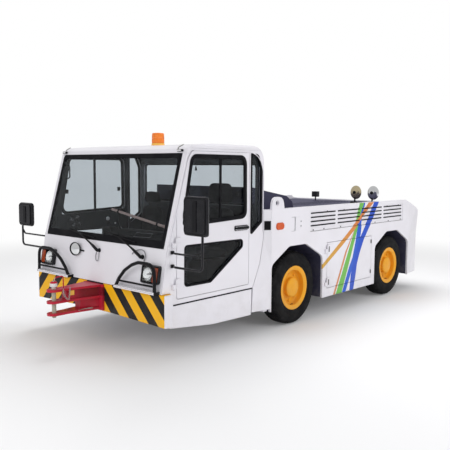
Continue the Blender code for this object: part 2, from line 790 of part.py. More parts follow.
def body_bulkhead():
    """Front wall of the body with a facet that runs in to each cab corner."""
    front = CAB_REAR_Y + 0.012
    back = BODY_FRONT_Y - GAP
    floor = BODY_LOW_Z + 0.005
    cab_x = CAB_HALF + 0.002
    low = (-cab_x, front, floor)
    high = (cab_x, back, BODY_TOP_Z)
    thing = add("body_bulkhead", box_mesh("body_bulkhead", low, high), "white")
    # The edge beside the cab, as (y, z)
    lean = CAB_REAR_Y + 0.006
    edge = (
        (CAB_REAR_LOW_Y - 0.010, floor + 0.035),
        (CAB_REAR_LOW_Y + 0.006, CAB_FLOOR_Z),
        (CAB_REAR_LOW_Y + 0.136, 0.890),
        (lean, CAB_WAIST_Z),
        (lean, BODY_TOP_Z),
    )
    for _, side in SIDES:
        shape = bmesh.new()
        rings = []
        for y, z in edge:
            places = ((cab_x - 0.040, back), (BODY_HALF, back), (cab_x, y), (cab_x - 0.040, y))
            rings.append([shape.verts.new((side * x, at, z)) for x, at in places])
        count = 4
        for below, above in zip(rings, rings[1:]):
            for index in range(count):
                after = (index + 1) % count
                shape.faces.new((below[index], below[after], above[after], above[index]))
        shape.faces.new(rings[0])
        shape.faces.new(rings[-1])
        bmesh.ops.triangulate(shape, faces=shape.faces)
        join(thing, finished("facet", shape))
    reach = RAIL_X + RAIL_WIDTH + 0.020
    low = (-reach, front - 0.5, BODY_LOW_Z - 0.1)
    high = (reach, back + 0.1, RAIL_TOP_Z + 0.060)
    cut(thing, box_mesh("rail_way", low, high))
    return thing


# Front end and cab


def front_bumper():
    """Deep bumper whose lower edge rises a little in the middle."""
    outline = (
        (-BODY_HALF, BUMPER_LOW_Z, 0),
        (-0.300, BUMPER_LOW_Z + 0.025, 0),
        (0.300, BUMPER_LOW_Z + 0.025, 0),
        (BODY_HALF, BUMPER_LOW_Z, 0),
        (BODY_HALF, BUMPER_TOP_Z, 0),
        (-BODY_HALF, BUMPER_TOP_Z, 0),
    )
    back = BUMPER_FRONT_Y + BUMPER_DEPTH
    mesh = prism_mesh("front_bumper", outline, "y", BUMPER_FRONT_Y, back)
    thing = add("front_bumper", mesh, "bumper")
    soften(thing, 0.012)
    return thing


def front_panel():
    """Nose panel that leans back a little from the bumper to the windscreen."""
    outline = (
        (BUMPER_FRONT_Y, NOSE_LOW_Z, 0),
        (PANEL_TOP_Y, GLASS_LOW_Z - GAP, 0),
        (PANEL_BACK_Y, GLASS_LOW_Z - GAP, 0),
        (PANEL_BACK_Y, NOSE_LOW_Z, 0),
    )
    mesh = prism_mesh("front_panel", outline, "x", -CAB_HALF, CAB_HALF)
    return add("front_panel", mesh, "white")


def front_chassis():
    """Floor pan under the cab with a skirt down each side."""
    top = CAB_FLOOR_Z - CAB_GAP
    front = BUMPER_FRONT_Y + BUMPER_DEPTH + GAP
    rear = CAB_REAR_LOW_Y - 0.012
    half = CAB_HALF - 0.010
    low = (-half, front, FRONT_RAIL_TOP_Z + GAP)
    thing = add("front_chassis", box_mesh("front_chassis", low, (half, rear, top - 0.001)), "white")
    skirt = (
        (front, 0.363, 0),
        (FRONT_AXLE_Y - 1.590, 0.290, 0),
        (rear - 0.015, 0.277, 0),
        (rear - 0.005, top, 0),
        (front, top, 0),
    )
    for _, side in SIDES:
        low_x, high_x = span(side, CAB_HALF - PANEL, CAB_HALF)
        join(thing, prism_mesh("skirt", skirt, "x", low_x, high_x))
        for y in (front + 0.250, rear - 0.200):
            low = (side * 0.800 - 0.060, y - 0.060, top - 0.010)
            high = (side * 0.800 + 0.060, y + 0.060, CAB_FLOOR_Z - GAP)
            join(thing, box_mesh("cab_mount", low, high))
    return thing


def cab_rear_line(inset):
    """The cab's rear outline from the floor up to the gutter, moved in by an inset."""
    low_y = CAB_REAR_LOW_Y - inset * 1.1
    points = [
        (low_y, CAB_FLOOR_Z, 0),
        (low_y + 0.130, 0.890, 0),
        (CAB_REAR_Y - inset, CAB_WAIST_Z, 0),
    ]
    centre_y = CAB_REAR_Y - ROOF_RADIUS
    centre_z = ROOF_TOP_Z - ROOF_RADIUS
    reach = ROOF_RADIUS - inset
    end = math.asin((GUTTER_Z - GAP - centre_z) / reach)
    steps = 5
    for step in range(steps + 1):
        angle = end * step / steps
        y = centre_y + reach * math.cos(angle)
        points.append((y, centre_z + reach * math.sin(angle), 0))
    return points


def glass_line(z, inward=0.0):
    """The y of the windscreen's outer face at a height."""
    share = (z - GLASS_LOW_Z) / (GLASS_TOP_Z - GLASS_LOW_Z)
    return GLASS_LOW_Y + (GLASS_TOP_Y - GLASS_LOW_Y) * share + inward


HEADER_BACK_Y = GLASS_TOP_Y + 0.055
DOOR_REAR_Y = CAB_REAR_Y - 0.280
DOOR_FRONT_Y = PANEL_BACK_Y + 0.100
DOOR_LOW_Z = CAB_FLOOR_Z + 0.057
DOOR_TOP_Z = GUTTER_Z - 0.030
DOOR_THICKNESS = 0.044
DOOR_AXIS_Y = DOOR_FRONT_Y - 0.020
DOOR_HINGES_Z = (0.835, 1.280)
DOOR = (
    (DOOR_FRONT_Y, DOOR_LOW_Z, 0.02),
    (DOOR_FRONT_Y, 1.600, 0.0),
    (DOOR_FRONT_Y + 0.170, 2.180, 0.0),
    (DOOR_FRONT_Y + 0.225, DOOR_TOP_Z, 0.04),
    (DOOR_REAR_Y, DOOR_TOP_Z, 0.0),
    (DOOR_REAR_Y, DOOR_LOW_Z, 0.02),
)
UPPER_WINDOW = (
    (DOOR_FRONT_Y + 0.080, 1.450, 0.03),
    (DOOR_FRONT_Y + 0.225, 2.210, 0.09),
    (DOOR_REAR_Y - 0.065, 2.210, 0.09),
    (DOOR_REAR_Y - 0.055, 1.490, 0.04),
)
LOWER_WINDOW = (
    (DOOR_FRONT_Y + 0.115, 0.787, 0.04),
    (DOOR_FRONT_Y + 0.115, 1.234, 0.04),
    (DOOR_REAR_Y - 0.115, 1.228, 0.04),
    (DOOR_REAR_Y - 0.115, 1.139, 0.04),
    (DOOR_FRONT_Y + 0.530, 0.783, 0.06),
)
QUARTER_WINDOW = (
    (DOOR_REAR_Y + 0.030, 1.262, 0.02),
    (DOOR_REAR_Y + 0.030, 2.255, 0.02),
    (CAB_REAR_Y - 0.105, 2.235, 0.05),
    (CAB_REAR_Y - 0.030, 2.080, 0.08),
    (CAB_REAR_Y - 0.030, 1.410, 0.02),
)


def cab_side(name, side):
    """Side wall of the cab round the doorway and the quarter window."""
    outline = [
        (PANEL_BACK_Y + GAP, CAB_FLOOR_Z, 0),
        *cab_rear_line(0),
        (HEADER_BACK_Y + 0.030, GUTTER_Z - GAP, 0),
        (HEADER_BACK_Y + GAP, GLASS_TOP_Z - GAP, 0),
        (glass_line(GLASS_TOP_Z), GLASS_TOP_Z - GAP, 0),
        (glass_line(GLASS_LOW_Z), GLASS_LOW_Z, 0),
        (PANEL_BACK_Y + GAP, GLASS_LOW_Z, 0),
    ]
    low_x, high_x = span(side, CAB_HALF - CAB_WALL, CAB_HALF)
    thing = add(name, prism_mesh(name, outline, "x", low_x, high_x), "white")
    low_x, high_x = span(side, CAB_HALF - CAB_WALL - 0.1, CAB_HALF + 0.1)
    cut(thing, prism_mesh("doorway", grown(DOOR, SEAM), "x", low_x, high_x))
    cut(thing, prism_mesh("quarter", QUARTER_WINDOW, "x", low_x, high_x))
    return thing


def pane(name, outline, side, middle_x):
    """A window pane that fills its opening."""
    low_x, high_x = span(side, middle_x - GLASS / 2, middle_x + GLASS / 2)
    return add(name, prism_mesh(name, grown(outline, -GAP), "x", low_x, high_x), "glass")


def door(name, side):
    """Door as thick as its whole wall, hinges and pull handle on the outside."""
    low_x, high_x = span(side, CAB_HALF - DOOR_THICKNESS, CAB_HALF)
    thing = add(name, prism_mesh(name, DOOR, "x", low_x, high_x), "white")
    handle_x = CAB_HALF + 0.030
    low_x, high_x = span(side, CAB_HALF - 0.010, handle_x)
    low = (low_x, DOOR_REAR_Y - 0.250, 1.345)
    high = (high_x, DOOR_REAR_Y - 0.020, 1.385)
    join(thing, box_mesh("handle", low, high))
    low_x, high_x = span(side, CAB_HALF - 0.2, CAB_HALF + 0.2)
    for window in (UPPER_WINDOW, LOWER_WINDOW):
        cut(thing, prism_mesh("window", window, "x", low_x, high_x))
    return thing


def cab_tub():
    """Cab floor and rear wall in one bent sheet, with the rear window cut."""
    outer = cab_rear_line(0)
    inner = cab_rear_line(FLOOR_THICKNESS)
    inner[0] = (CAB_REAR_LOW_Y - 0.030, CAB_FLOOR_Z + FLOOR_THICKNESS, 0)
    outline = [
        (PANEL_BACK_Y + GAP, CAB_FLOOR_Z, 0),
        *outer,
        *reversed(inner),
        (PANEL_BACK_Y + GAP, CAB_FLOOR_Z + FLOOR_THICKNESS, 0),
    ]
    thing = add("cab_tub", prism_mesh("cab_tub", outline, "x", -GLASS_HALF, GLASS_HALF), "white")
    cut(thing, prism_mesh("rear_window", REAR_WINDOW, "y", CAB_REAR_Y - 0.3, CAB_REAR_Y + 0.3))
    return thing


REAR_WINDOW_HALF = CAB_HALF - 0.104
REAR_WINDOW_LOW_Z = BODY_TOP_Z + 0.040
REAR_WINDOW = (
    (-REAR_WINDOW_HALF, REAR_WINDOW_LOW_Z, 0.06),
    (-REAR_WINDOW_HALF, GUTTER_Z - 0.155, 0.06),
    (REAR_WINDOW_HALF, GUTTER_Z - 0.155, 0.06),
    (REAR_WINDOW_HALF, REAR_WINDOW_LOW_Z, 0.06),
)


def rear_window():
    middle = CAB_REAR_Y - FLOOR_THICKNESS / 2
    outline = grown(REAR_WINDOW, -GAP)
    mesh = prism_mesh("rear_window", outline, "y", middle - GLASS / 2, middle + GLASS / 2)
    return add("rear_window", mesh, "glass")


def roof():
    """Roof cap with the windscreen header and its side and rear edges rounded."""
    centre_y = CAB_REAR_Y - ROOF_RADIUS
    centre_z = ROOF_TOP_Z - ROOF_RADIUS
    start = math.asin((GUTTER_Z + GAP - centre_z) / ROOF_RADIUS)
    arc = []
    steps = 6
    for step in range(steps + 1):
        angle = start + (math.pi / 2 - start) * step / steps
        y = centre_y + ROOF_RADIUS * math.cos(angle)
        arc.append((y, centre_z + ROOF_RADIUS * math.sin(angle), 0))
    outline = [
        (HEADER_BACK_Y + 0.030, GUTTER_Z + GAP, 0),
        *arc,
        (GLASS_TOP_Y + 0.450, ROOF_TOP_Z, 0.50),
        (GLASS_TOP_Y + 0.100, GUTTER_Z + 0.035, 0.15),
        (GLASS_TOP_Y + 0.008, GLASS_TOP_Z + 0.045, 0.05),
        (GLASS_TOP_Y + GAP, GLASS_TOP_Z + GAP, 0),
        (HEADER_BACK_Y, GLASS_TOP_Z + GAP, 0),
    ]
    thing = add("roof", prism_mesh("roof", outline, "x", -CAB_HALF, CAB_HALF), "white")
    section = (
        (-CAB_HALF, GLASS_TOP_Z - 0.1, 0),
        (CAB_HALF, GLASS_TOP_Z - 0.1, 0),
        (CAB_HALF, ROOF_TOP_Z + 0.001, ROOF_EDGE),
        (-CAB_HALF, ROOF_TOP_Z + 0.001, ROOF_EDGE),
    )
    tool = prism_mesh("roof_section", section, "y", GLASS_TOP_Y - 0.1, CAB_REAR_Y + 0.1)
    combine(thing, add("roof_section", tool), "INTERSECT")
    return thing


def windscreen():
    thickness = 0.008
    outline = (
        (glass_line(GLASS_LOW_Z + GAP, GAP), GLASS_LOW_Z + GAP, 0),
        (glass_line(GLASS_LOW_Z + GAP, GAP) + thickness, GLASS_LOW_Z + GAP, 0),
        (glass_line(GLASS_TOP_Z - GAP, GAP) + thickness, GLASS_TOP_Z - GAP, 0),
        (glass_line(GLASS_TOP_Z - GAP, GAP), GLASS_TOP_Z - GAP, 0),
    )
    mesh = prism_mesh("windscreen", outline, "x", -GLASS_HALF, GLASS_HALF)
    return add("windscreen", mesh, "glass")


# Inside the cab


def dashboard():
    floor = CAB_FLOOR_Z + FLOOR_THICKNESS + GAP
    front = PANEL_BACK_Y + GAP
    outline = (
        (front, floor, 0),
        (front, GLASS_LOW_Z - 0.020, 0),
        (front + 0.400, GLASS_LOW_Z + 0.010, 0.04),
        (front + 0.470, GLASS_LOW_Z - 0.060, 0.03),
        (front + 0.330, GLASS_LOW_Z - 0.200, 0.04),
        (front + 0.280, floor, 0),
    )
    half = GLASS_HALF - 0.006
    thing = add("dashboard", prism_mesh("dashboard", outline, "x", -half, half), "black")
    inside = grown([(y, z, 0) for y, z, _ in outline], -0.025)
    inside[0] = (inside[0][0], floor - 0.1, 0)
    inside[-1] = (inside[-1][0], floor - 0.1, 0)
    cut(thing, prism_mesh("inside", inside, "x", 0.025 - half, half - 0.025))
    way = COLUMN_RADIUS + BEARING_GAP
    profile = ((0, 0.1), (way, 0.1), (way, -COLUMN_LENGTH - 0.1), (0, -COLUMN_LENGTH - 0.1))
    cut(thing, turned_mesh("column_way", profile, steering_place(), ROUND))
    return thing


DRIVER_X = CAB_HALF - 0.554
STEER_CENTRE = (DRIVER_X, PANEL_BACK_Y + 0.520, CAB_FLOOR_Z + 0.689)
STEER_LEAN = -32        # degrees, top towards the driver
COLUMN_RADIUS = 0.022
COLUMN_LENGTH = 0.200


def steering_place():
    lean = Matrix.Rotation(math.radians(STEER_LEAN), 4, "X")
    return Matrix.Translation(STEER_CENTRE) @ lean


def steering_wheel():
    """Rim, three spokes, hub and column on one axis that leans back."""
    place = steering_place()
    radius = 0.205
    grip = 0.014
    ring = []
    facets = 8
    for index in range(facets):
        angle = -2 * math.pi * index / facets
        ring.append((radius + grip * math.cos(angle), grip * math.sin(angle)))
    mesh = turned_mesh("steering_wheel", ring, place, ROUND, closed=True)
    thing = add("steering_wheel", mesh, "black")
    hub = (
        (0, 0.012),
        (0.040, 0.012),
        (0.045, -0.030),
        (COLUMN_RADIUS, -0.060),
        (COLUMN_RADIUS, -COLUMN_LENGTH),
        (0, -COLUMN_LENGTH),
    )
    join(thing, turned_mesh("hub", hub, place, ROUND))
    for angle in (90, 210, 330):
        turn = math.radians(angle)
        start = place @ Vector((0.030 * math.cos(turn), 0.030 * math.sin(turn), -0.006))
        end = place @ Vector((radius * math.cos(turn), radius * math.sin(turn), 0))
        join(thing, tube_mesh("spoke", (start, end), 0.008))
    return thing


SEAT_Y = CAB_REAR_Y - 0.440
SEAT_Z = CAB_FLOOR_Z + 0.349
CUSHION = 0.120         # thickness
BACK_DEPTH = 0.110
# Middle, half width, height of the back, half width of the headrest and its foot
SEATS = {
    "seat": (DRIVER_X, 0.250, 0.940, 0.220, 0.640),
    "passenger": (DRIVER_X - 1.290, 0.220, 0.785, 0.165, 0.600),
}


def seat_parts(name):
    """Pedestal, cushion and back of a seat; the back narrows to its headrest."""
    middle, half, height, head_half, neck = SEATS[name]
    floor = CAB_FLOOR_Z + FLOOR_THICKNESS + GAP
    low = (middle - half + 0.050, SEAT_Y - 0.200, floor)
    high = (middle + half - 0.050, SEAT_Y + 0.150, SEAT_Z)
    add(name + "_base", box_mesh(name + "_base", low, high), "black")
    low = (middle - half, SEAT_Y - 0.250, SEAT_Z + GAP)
    high = (middle + half, SEAT_Y + 0.200, SEAT_Z + CUSHION)
    add(name + "_cushion", box_mesh(name + "_cushion", low, high), "seat")
    back_y = SEAT_Y + 0.200 + GAP
    outline = (
        (middle - half, SEAT_Z + 0.020, 0.03),
        (middle + half, SEAT_Z + 0.020, 0.03),
        (middle + half, SEAT_Z + neck - 0.060, 0.06),
        (middle + head_half, SEAT_Z + neck, 0.04),
        (middle + head_half, SEAT_Z + height, 0.07),
        (middle - head_half, SEAT_Z + height, 0.07),
        (middle - head_half, SEAT_Z + neck, 0.04),
        (middle - half, SEAT_Z + neck - 0.060, 0.06),
    )
    back = prism_mesh(name + "_back", outline, "y", back_y, back_y + BACK_DEPTH)
    add(name + "_back", back, "seat")


# Lamps, mirrors and fittings

MIRROR_DEPTH = 0.060
MIRROR_TUBE = 0.013
# Heights of the arms and the head, then its tube, inner and outer edge out from the cab
# and the height of the tube's top: low arm, high arm, low, high, tube, inner, outer, top
MIRRORS = {
    "mirror_left": (1.035, 1.180, 1.395, 1.793, 0.4857, 0.2987, 0.6187, 1.700),
    "mirror_right": (1.020, 1.176, 1.290, 1.600, 0.6057, 0.2457, 0.5457, 1.370),
}
LEDGE_Z = BUMPER_TOP_Z + 0.034
GUARD_TOP_Z = BUMPER_TOP_Z + 0.322
GUARD_RADIUS = 0.019
LAMP_Z = 0.942
LAMP_HALF = 0.098       # half its height
LAMP_DEPTH = 0.045
LAMP_BAR_X = BODY_HALF - 0.424


def front_face_y(z):
    """The y of the nose panel's outer face at a height."""
    share = (z - NOSE_LOW_Z) / (GLASS_LOW_Z - GAP - NOSE_LOW_Z)
    return BUMPER_FRONT_Y + (PANEL_TOP_Y - BUMPER_FRONT_Y) * share


def headlamp(name, side):
    """Square lamp unit on the nose panel, seated along its slope."""
    low_z = LAMP_Z - LAMP_HALF
    high_z = LAMP_Z + LAMP_HALF
    outline = (
        (front_face_y(low_z) - LAMP_DEPTH, low_z, 0.01),
        (front_face_y(high_z) - LAMP_DEPTH, high_z, 0.01),
        (front_face_y(high_z) - GAP, high_z, 0),
        (front_face_y(low_z) - GAP, low_z, 0),
    )
    low_x, high_x = span(side, CAB_HALF - 0.314, CAB_HALF - 0.044)
    return add(name, prism_mesh(name, outline, "x", low_x, high_x), "lamp")


def lamp_guard(name, side):
    """Bent tube guard round a headlamp with a cross bar, on a short ledge."""
    y = BUMPER_FRONT_Y - LAMP_DEPTH - 0.006
    foot = NOSE_LOW_Z + GAP
    outer = BODY_HALF - 0.112
    inner = BODY_HALF - 0.764
    low_x, high_x = span(side, inner - 0.020, outer + 0.020)
    ledge = (
        (y - 0.020, foot, 0),
        (front_face_y(foot) - GAP, foot, 0),
        (front_face_y(LEDGE_Z) - GAP, LEDGE_Z, 0),
        (y - 0.020, LEDGE_Z, 0),
    )
    thing = add(name, prism_mesh(name, ledge, "x", low_x, high_x), "black")
    path = [(side * x, y, z) for x, z in (
        (outer, foot + 0.010),
        (outer - 0.008, GUARD_TOP_Z),
        (outer - 0.260, GUARD_TOP_Z),
        (outer - 0.370, GUARD_TOP_Z - 0.038),
        (inner + 0.165, GUARD_TOP_Z - 0.108),
        (inner + 0.070, GUARD_TOP_Z - 0.202),
        (inner, foot + 0.010),
    )]
    join(thing, tube_mesh("guard", path, GUARD_RADIUS, bend=0.11))
    bar = [(side * x, y, LEDGE_Z + 0.055) for x in (outer - 0.003, inner + 0.030)]
    join(thing, tube_mesh("bar", bar, GUARD_RADIUS * 0.6))
    return thing


def mirror(name, side):
    """Mirror head on an upright tube with two arms from the front pillar."""
    low_arm, high_arm, low_z, high_z, stalk, inner, outer, top = MIRRORS[name]
    wall = CAB_HALF + GAP
    root_y = PANEL_BACK_Y + 0.030
    y = PANEL_BACK_Y - 0.010
    head_y = y - 0.030
    low_x, high_x = span(side, wall + inner, wall + outer)
    low = (low_x, head_y - MIRROR_DEPTH, low_z)
    thing = add(name, box_mesh(name, low, (high_x, head_y, high_z)), "black")
    soften(thing, 0.028)
    stalk_x = wall + stalk
    path = (
        (side * wall, root_y, low_arm),
        (side * (wall + 0.030), root_y, low_arm),
        (side * (wall + 0.080), y, low_arm),
        (side * stalk_x, y, low_arm),
        (side * stalk_x, y, top),
        (side * (wall + min(stalk, outer - 0.030)), head_y - 0.010, top + 0.020),
    )
    join(thing, tube_mesh("stalk", path, MIRROR_TUBE, bend=0.060))
    path = (
        (side * wall, root_y, high_arm),
        (side * (wall + 0.030), root_y, high_arm),
        (side * (wall + 0.080), y, high_arm),
        (side * (stalk_x - 0.060), y, high_arm),
        (side * stalk_x, y, high_arm + 0.060),
    )
    join(thing, tube_mesh("arm", path, MIRROR_TUBE * 0.85, bend=0.040))
    return thing


def beacon():
    foot = ROOF_TOP_Z + GAP
    profile = (
        (0, foot + 0.165),
        (0.045, foot + 0.160),
        (0.070, foot + 0.135),
        (0.078, foot + 0.045),
        (0.082, foot + 0.040),
        (0.085, foot),
        (0, foot),
    )
    place = axis_place("z", (0, CAB_REAR_Y - 0.700, 0))
    return add("beacon", turned_mesh("beacon", profile, place, 28), "orange")


def work_lamps():
    """Two round lamps on one bar behind the left coaming."""
    foot = DECK_Z + GAP
    y = REAR_AXLE_Y - 0.170
    low = (LAMP_BAR_X - 0.250, y - 0.030, foot)
    high = (LAMP_BAR_X + 0.250, y + 0.030, foot + 0.040)
    thing = add("work_lamps", box_mesh("work_lamps", low, high), "black")
    for x in (LAMP_BAR_X - 0.180, LAMP_BAR_X + 0.140):
        low = (x - 0.020, y - 0.012, foot + 0.030)
        join(thing, box_mesh("stem", low, (x + 0.020, y + 0.012, foot + 0.150)))
        lamp = (
            (0, -0.050),
            (0.060, -0.045),
            (0.098, 0.0),
            (0.102, 0.030),
            (0.090, 0.036),
            (0, 0.036),
        )
        place = axis_place("y", (x, y, foot + 0.190))
        join(thing, turned_mesh("lamp", lamp, place, 24))
    return thing


# Couplings

HITCH_PIN_Y = HOOK_TIP_Y + 0.080
HITCH_BASE_HALF = 0.180
REAR_BASE_HALF = 0.160
REAR_JAW_Z = 0.500      # top of the rear jaw's lower plate
HITCH_TIP_HALF = 0.070
HITCH_PLATE = 0.026     # thickness
PIN_RADIUS = 0.024
# Each plate from the lowest up: how far it is under the bumper's top, half its root
HITCH_PLATES = ((0.300, 0.130), (0.165, 0.150), (0.036, 0.150))


def jaw_outline(root_y, tip_y, root_half, tip_half, straight):
    """A plate that narrows from its root to a straight share and a round tip."""
    knee_y = tip_y + (root_y - tip_y) * straight
    return (
        (root_half, root_y, 0),
        (tip_half, knee_y, 0.05),
        (tip_half, tip_y, tip_half),
        (-tip_half, tip_y, tip_half),
        (-tip_half, knee_y, 0.05),
        (-root_half, root_y, 0),
    )


def front_hitch():
    """Three-plate towbar jaw on a box beam, with its pin, cap and lifting handle."""
    back = BUMPER_FRONT_Y - GAP
    low = (-HITCH_BASE_HALF, back - 0.030, BUMPER_TOP_Z - 0.310)
    high = (HITCH_BASE_HALF, back, BUMPER_TOP_Z - 0.010)
    thing = add("front_hitch", box_mesh("front_hitch", low, high), "red")
    for height, root_half in HITCH_PLATES:
        outline = jaw_outline(back - 0.010, HOOK_TIP_Y, root_half, HITCH_TIP_HALF, 0.34)
        low_z = BUMPER_TOP_Z - height
        join(thing, prism_mesh("plate", outline, "z", low_z, low_z + HITCH_PLATE))
    low_z = BUMPER_TOP_Z - HITCH_PLATES[1][0] + HITCH_PLATE / 2
    high_z = BUMPER_TOP_Z - HITCH_PLATES[2][0] + HITCH_PLATE / 2
    web = (
        (-0.120, back - 0.010, 0),
        (-0.045, HITCH_PIN_Y + 0.130, 0),
        (0.045, HITCH_PIN_Y + 0.130, 0),
        (0.120, back - 0.010, 0),
    )
    join(thing, prism_mesh("web", web, "z", low_z, high_z))
    low_z = BUMPER_TOP_Z - HITCH_PLATES[0][0] + HITCH_PLATE / 2
    gusset = ((-0.110, back - 0.010, 0), (-0.050, back - 0.240, 0), (0.050, back - 0.240, 0))
    gusset = (*gusset, (0.110, back - 0.010, 0))
    high_z = BUMPER_TOP_Z - HITCH_PLATES[1][0] + HITCH_PLATE / 2
    join(thing, prism_mesh("gusset", gusset, "z", low_z, high_z))
    low_z = BUMPER_TOP_Z - HITCH_PLATES[0][0] - 0.030
    cap_z = BUMPER_TOP_Z + 0.060
    pin = (
        (0, low_z),
        (PIN_RADIUS * 0.8, low_z),
        (PIN_RADIUS, low_z + 0.010),
        (PIN_RADIUS, cap_z - 0.045),
        (PIN_RADIUS * 1.7, cap_z - 0.040),
        (PIN_RADIUS * 1.7, cap_z),
        (PIN_RADIUS * 1.2, cap_z + 0.020),
        (0, cap_z + 0.020),
    )
    place = axis_place("z", (0, HITCH_PIN_Y, 0))
    join(thing, turned_mesh("pin", pin, place))
    path = (
        (0.020, HITCH_PIN_Y, cap_z + 0.010),
        (0.020, HITCH_PIN_Y, cap_z + 0.060),
        (0.020, HITCH_PIN_Y + 0.110, cap_z + 0.070),
        (0.020, HITCH_PIN_Y + 0.110, BUMPER_TOP_Z - 0.030),
    )
    join(thing, tube_mesh("handle", path, 0.007, bend=0.030))
    return thing


def rear_coupling():
    """Two-plate jaw with a pin on the rear wall."""
    face = REAR_END_Y + GAP
    low = (-REAR_BASE_HALF, face, REAR_JAW_Z - 0.100)
    high = (REAR_BASE_HALF, face + 0.030, REAR_JAW_Z + 0.200)
    thing = add("rear_coupling", box_mesh("rear_coupling", low, high), "red")
    outline = jaw_outline(face + 0.010, REAR_TIP_Y, 0.110, HITCH_TIP_HALF, 0.75)
    for low_z in (REAR_JAW_Z - 0.030, REAR_JAW_Z + 0.100):
        join(thing, prism_mesh("jaw", outline, "z", low_z, low_z + 0.030))
    pin = (0, REAR_TIP_Y - 0.080, 0)
    join(thing, rod_mesh("pin", PIN_RADIUS, "z", pin, REAR_JAW_Z - 0.060, REAR_JAW_Z + 0.190))
    return thing


def build():
    chassis_frame()
    engine_block()
    front_axle()
    rear_axle()
    for name, side in SIDES:
        knuckle("knuckle_" + name, side)
        for end, axle_y in (("front", FRONT_AXLE_Y), ("rear", REAR_AXLE_Y)):
            rim(f"rim_{end}_{name}", side, axle_y)
            tyre(f"tyre_{end}_{name}", side, axle_y)
            wheelhouse(f"wheelhouse_{end}_{name}", side, axle_y)
        wall = rear_side("rear_side_" + name, side)
        lid = side_hatch("side_hatch_" + name, side)
        for z in HATCH_HINGES_Z:
            hinge(lid, wall, side, BODY_HALF, HATCH_AXIS_Y, z)
        pillar = cab_side("cab_side_" + name, side)
        leaf = door("door_" + name, side)
        for z in DOOR_HINGES_Z:
            hinge(leaf, pillar, side, CAB_HALF, DOOR_AXIS_Y, z)
        middle = CAB_HALF - DOOR_THICKNESS / 2
        pane("door_glass_" + name, UPPER_WINDOW, side, middle)
        pane("door_low_glass_" + name, LOWER_WINDOW, side, middle)
        pane("quarter_glass_" + name, QUARTER_WINDOW, side, middle)
        headlamp("headlamp_" + name, side)
        lamp_guard("lamp_guard_" + name, side)
        mirror("mirror_" + name, side)
    rear_end()
    deck_plate()
    body_bulkhead()
    front_bumper()
    front_panel()
    front_chassis()
    cab_tub()
    rear_window()
    roof()
    windscreen()
    dashboard()
    steering_wheel()
    for name in SEATS:
        seat_parts(name)
    beacon()
    work_lamps()
    front_hitch()
    rear_coupling()


for old in list(bpy.data.objects):
    bpy.data.objects.remove(old)
PARTS = bpy.data.collections.new("pushback_tractor")
CUTTERS = bpy.data.collections.new("cutters")
bpy.context.scene.collection.children.link(PARTS)
bpy.context.scene.collection.children.link(CUTTERS)
build()
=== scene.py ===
# %% [markdown]
# # An aircraft pushback tractor, dressed for its picture
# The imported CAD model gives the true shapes, the joints and the sizes. This lesson adds what
# drawings leave out: paint that has met rain and grit, rubber seals, lamps with bowls behind
# their lenses, tread, bolts and stuffed seats. Every cell prints what it made.

# %% Load the frame
import math

import bmesh
import bpy
from mathutils import Matrix, Vector


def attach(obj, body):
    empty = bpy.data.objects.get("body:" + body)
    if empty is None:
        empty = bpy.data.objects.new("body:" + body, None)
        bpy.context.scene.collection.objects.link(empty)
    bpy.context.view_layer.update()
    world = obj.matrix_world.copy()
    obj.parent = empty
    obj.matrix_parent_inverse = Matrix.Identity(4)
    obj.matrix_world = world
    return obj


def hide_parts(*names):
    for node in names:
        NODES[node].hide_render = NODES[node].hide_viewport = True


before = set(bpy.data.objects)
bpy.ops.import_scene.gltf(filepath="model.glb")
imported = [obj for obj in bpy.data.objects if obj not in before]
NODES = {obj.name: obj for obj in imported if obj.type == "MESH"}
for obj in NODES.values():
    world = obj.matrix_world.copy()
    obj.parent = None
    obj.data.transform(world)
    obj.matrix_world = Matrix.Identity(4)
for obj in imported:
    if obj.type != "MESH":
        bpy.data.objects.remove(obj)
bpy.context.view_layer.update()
SIDES = (("left", 1), ("right", -1))

# %% [markdown]
# ## Camera
# The picture was taken from the front left corner at standing height. Its place, turn and lens
# were solved from straight edges of the body, so the camera is set by numbers and not by eye.

# %% Camera and a helper for objects
CAMERA_PLACE = Vector((5.876, -7.107, 2.071))
CAMERA_YAW = math.radians(41.778)
CAMERA_PITCH = math.radians(5.266)
CAMERA_ROLL = math.radians(0.342)
FOCAL_PIXELS = 616.674
PHOTO_PIXELS = 450
SENSOR_MM = 36.0


def added(name, data):
    """A new object in the scene that carries some data."""
    thing = bpy.data.objects.new(name, data)
    bpy.context.scene.collection.objects.link(thing)
    return thing


def aim_camera():
    """The camera's matrix from its yaw, pitch and roll."""
    level = math.cos(CAMERA_PITCH)
    ahead = Vector((
        -math.sin(CAMERA_YAW) * level,
        math.cos(CAMERA_YAW) * level,
        -math.sin(CAMERA_PITCH),
    ))
    flat_right = Vector((math.cos(CAMERA_YAW), math.sin(CAMERA_YAW), 0))
    flat_up = flat_right.cross(ahead)
    right = flat_right * math.cos(CAMERA_ROLL) + flat_up * math.sin(CAMERA_ROLL)
    up = flat_up * math.cos(CAMERA_ROLL) - flat_right * math.sin(CAMERA_ROLL)
    turn = Matrix((right, up, -ahead)).transposed().to_4x4()
    return Matrix.Translation(CAMERA_PLACE) @ turn


lens = bpy.data.cameras.new("camera")
lens.sensor_width = SENSOR_MM
lens.lens = FOCAL_PIXELS * SENSOR_MM / PHOTO_PIXELS
lens.clip_end = 200
camera = added("camera", lens)
camera.matrix_world = aim_camera()
bpy.context.scene.camera = camera
bpy.context.scene.view_settings.view_transform = "Standard"
print("lens", round(lens.lens, 2), "mm")

# %% [markdown]
# ## Small tools for node trees
# A finish is a tree of nodes. Two helpers keep the cells short: one adds a node with its
# inputs fed, the other adds a step of arithmetic.

# %% Node helpers


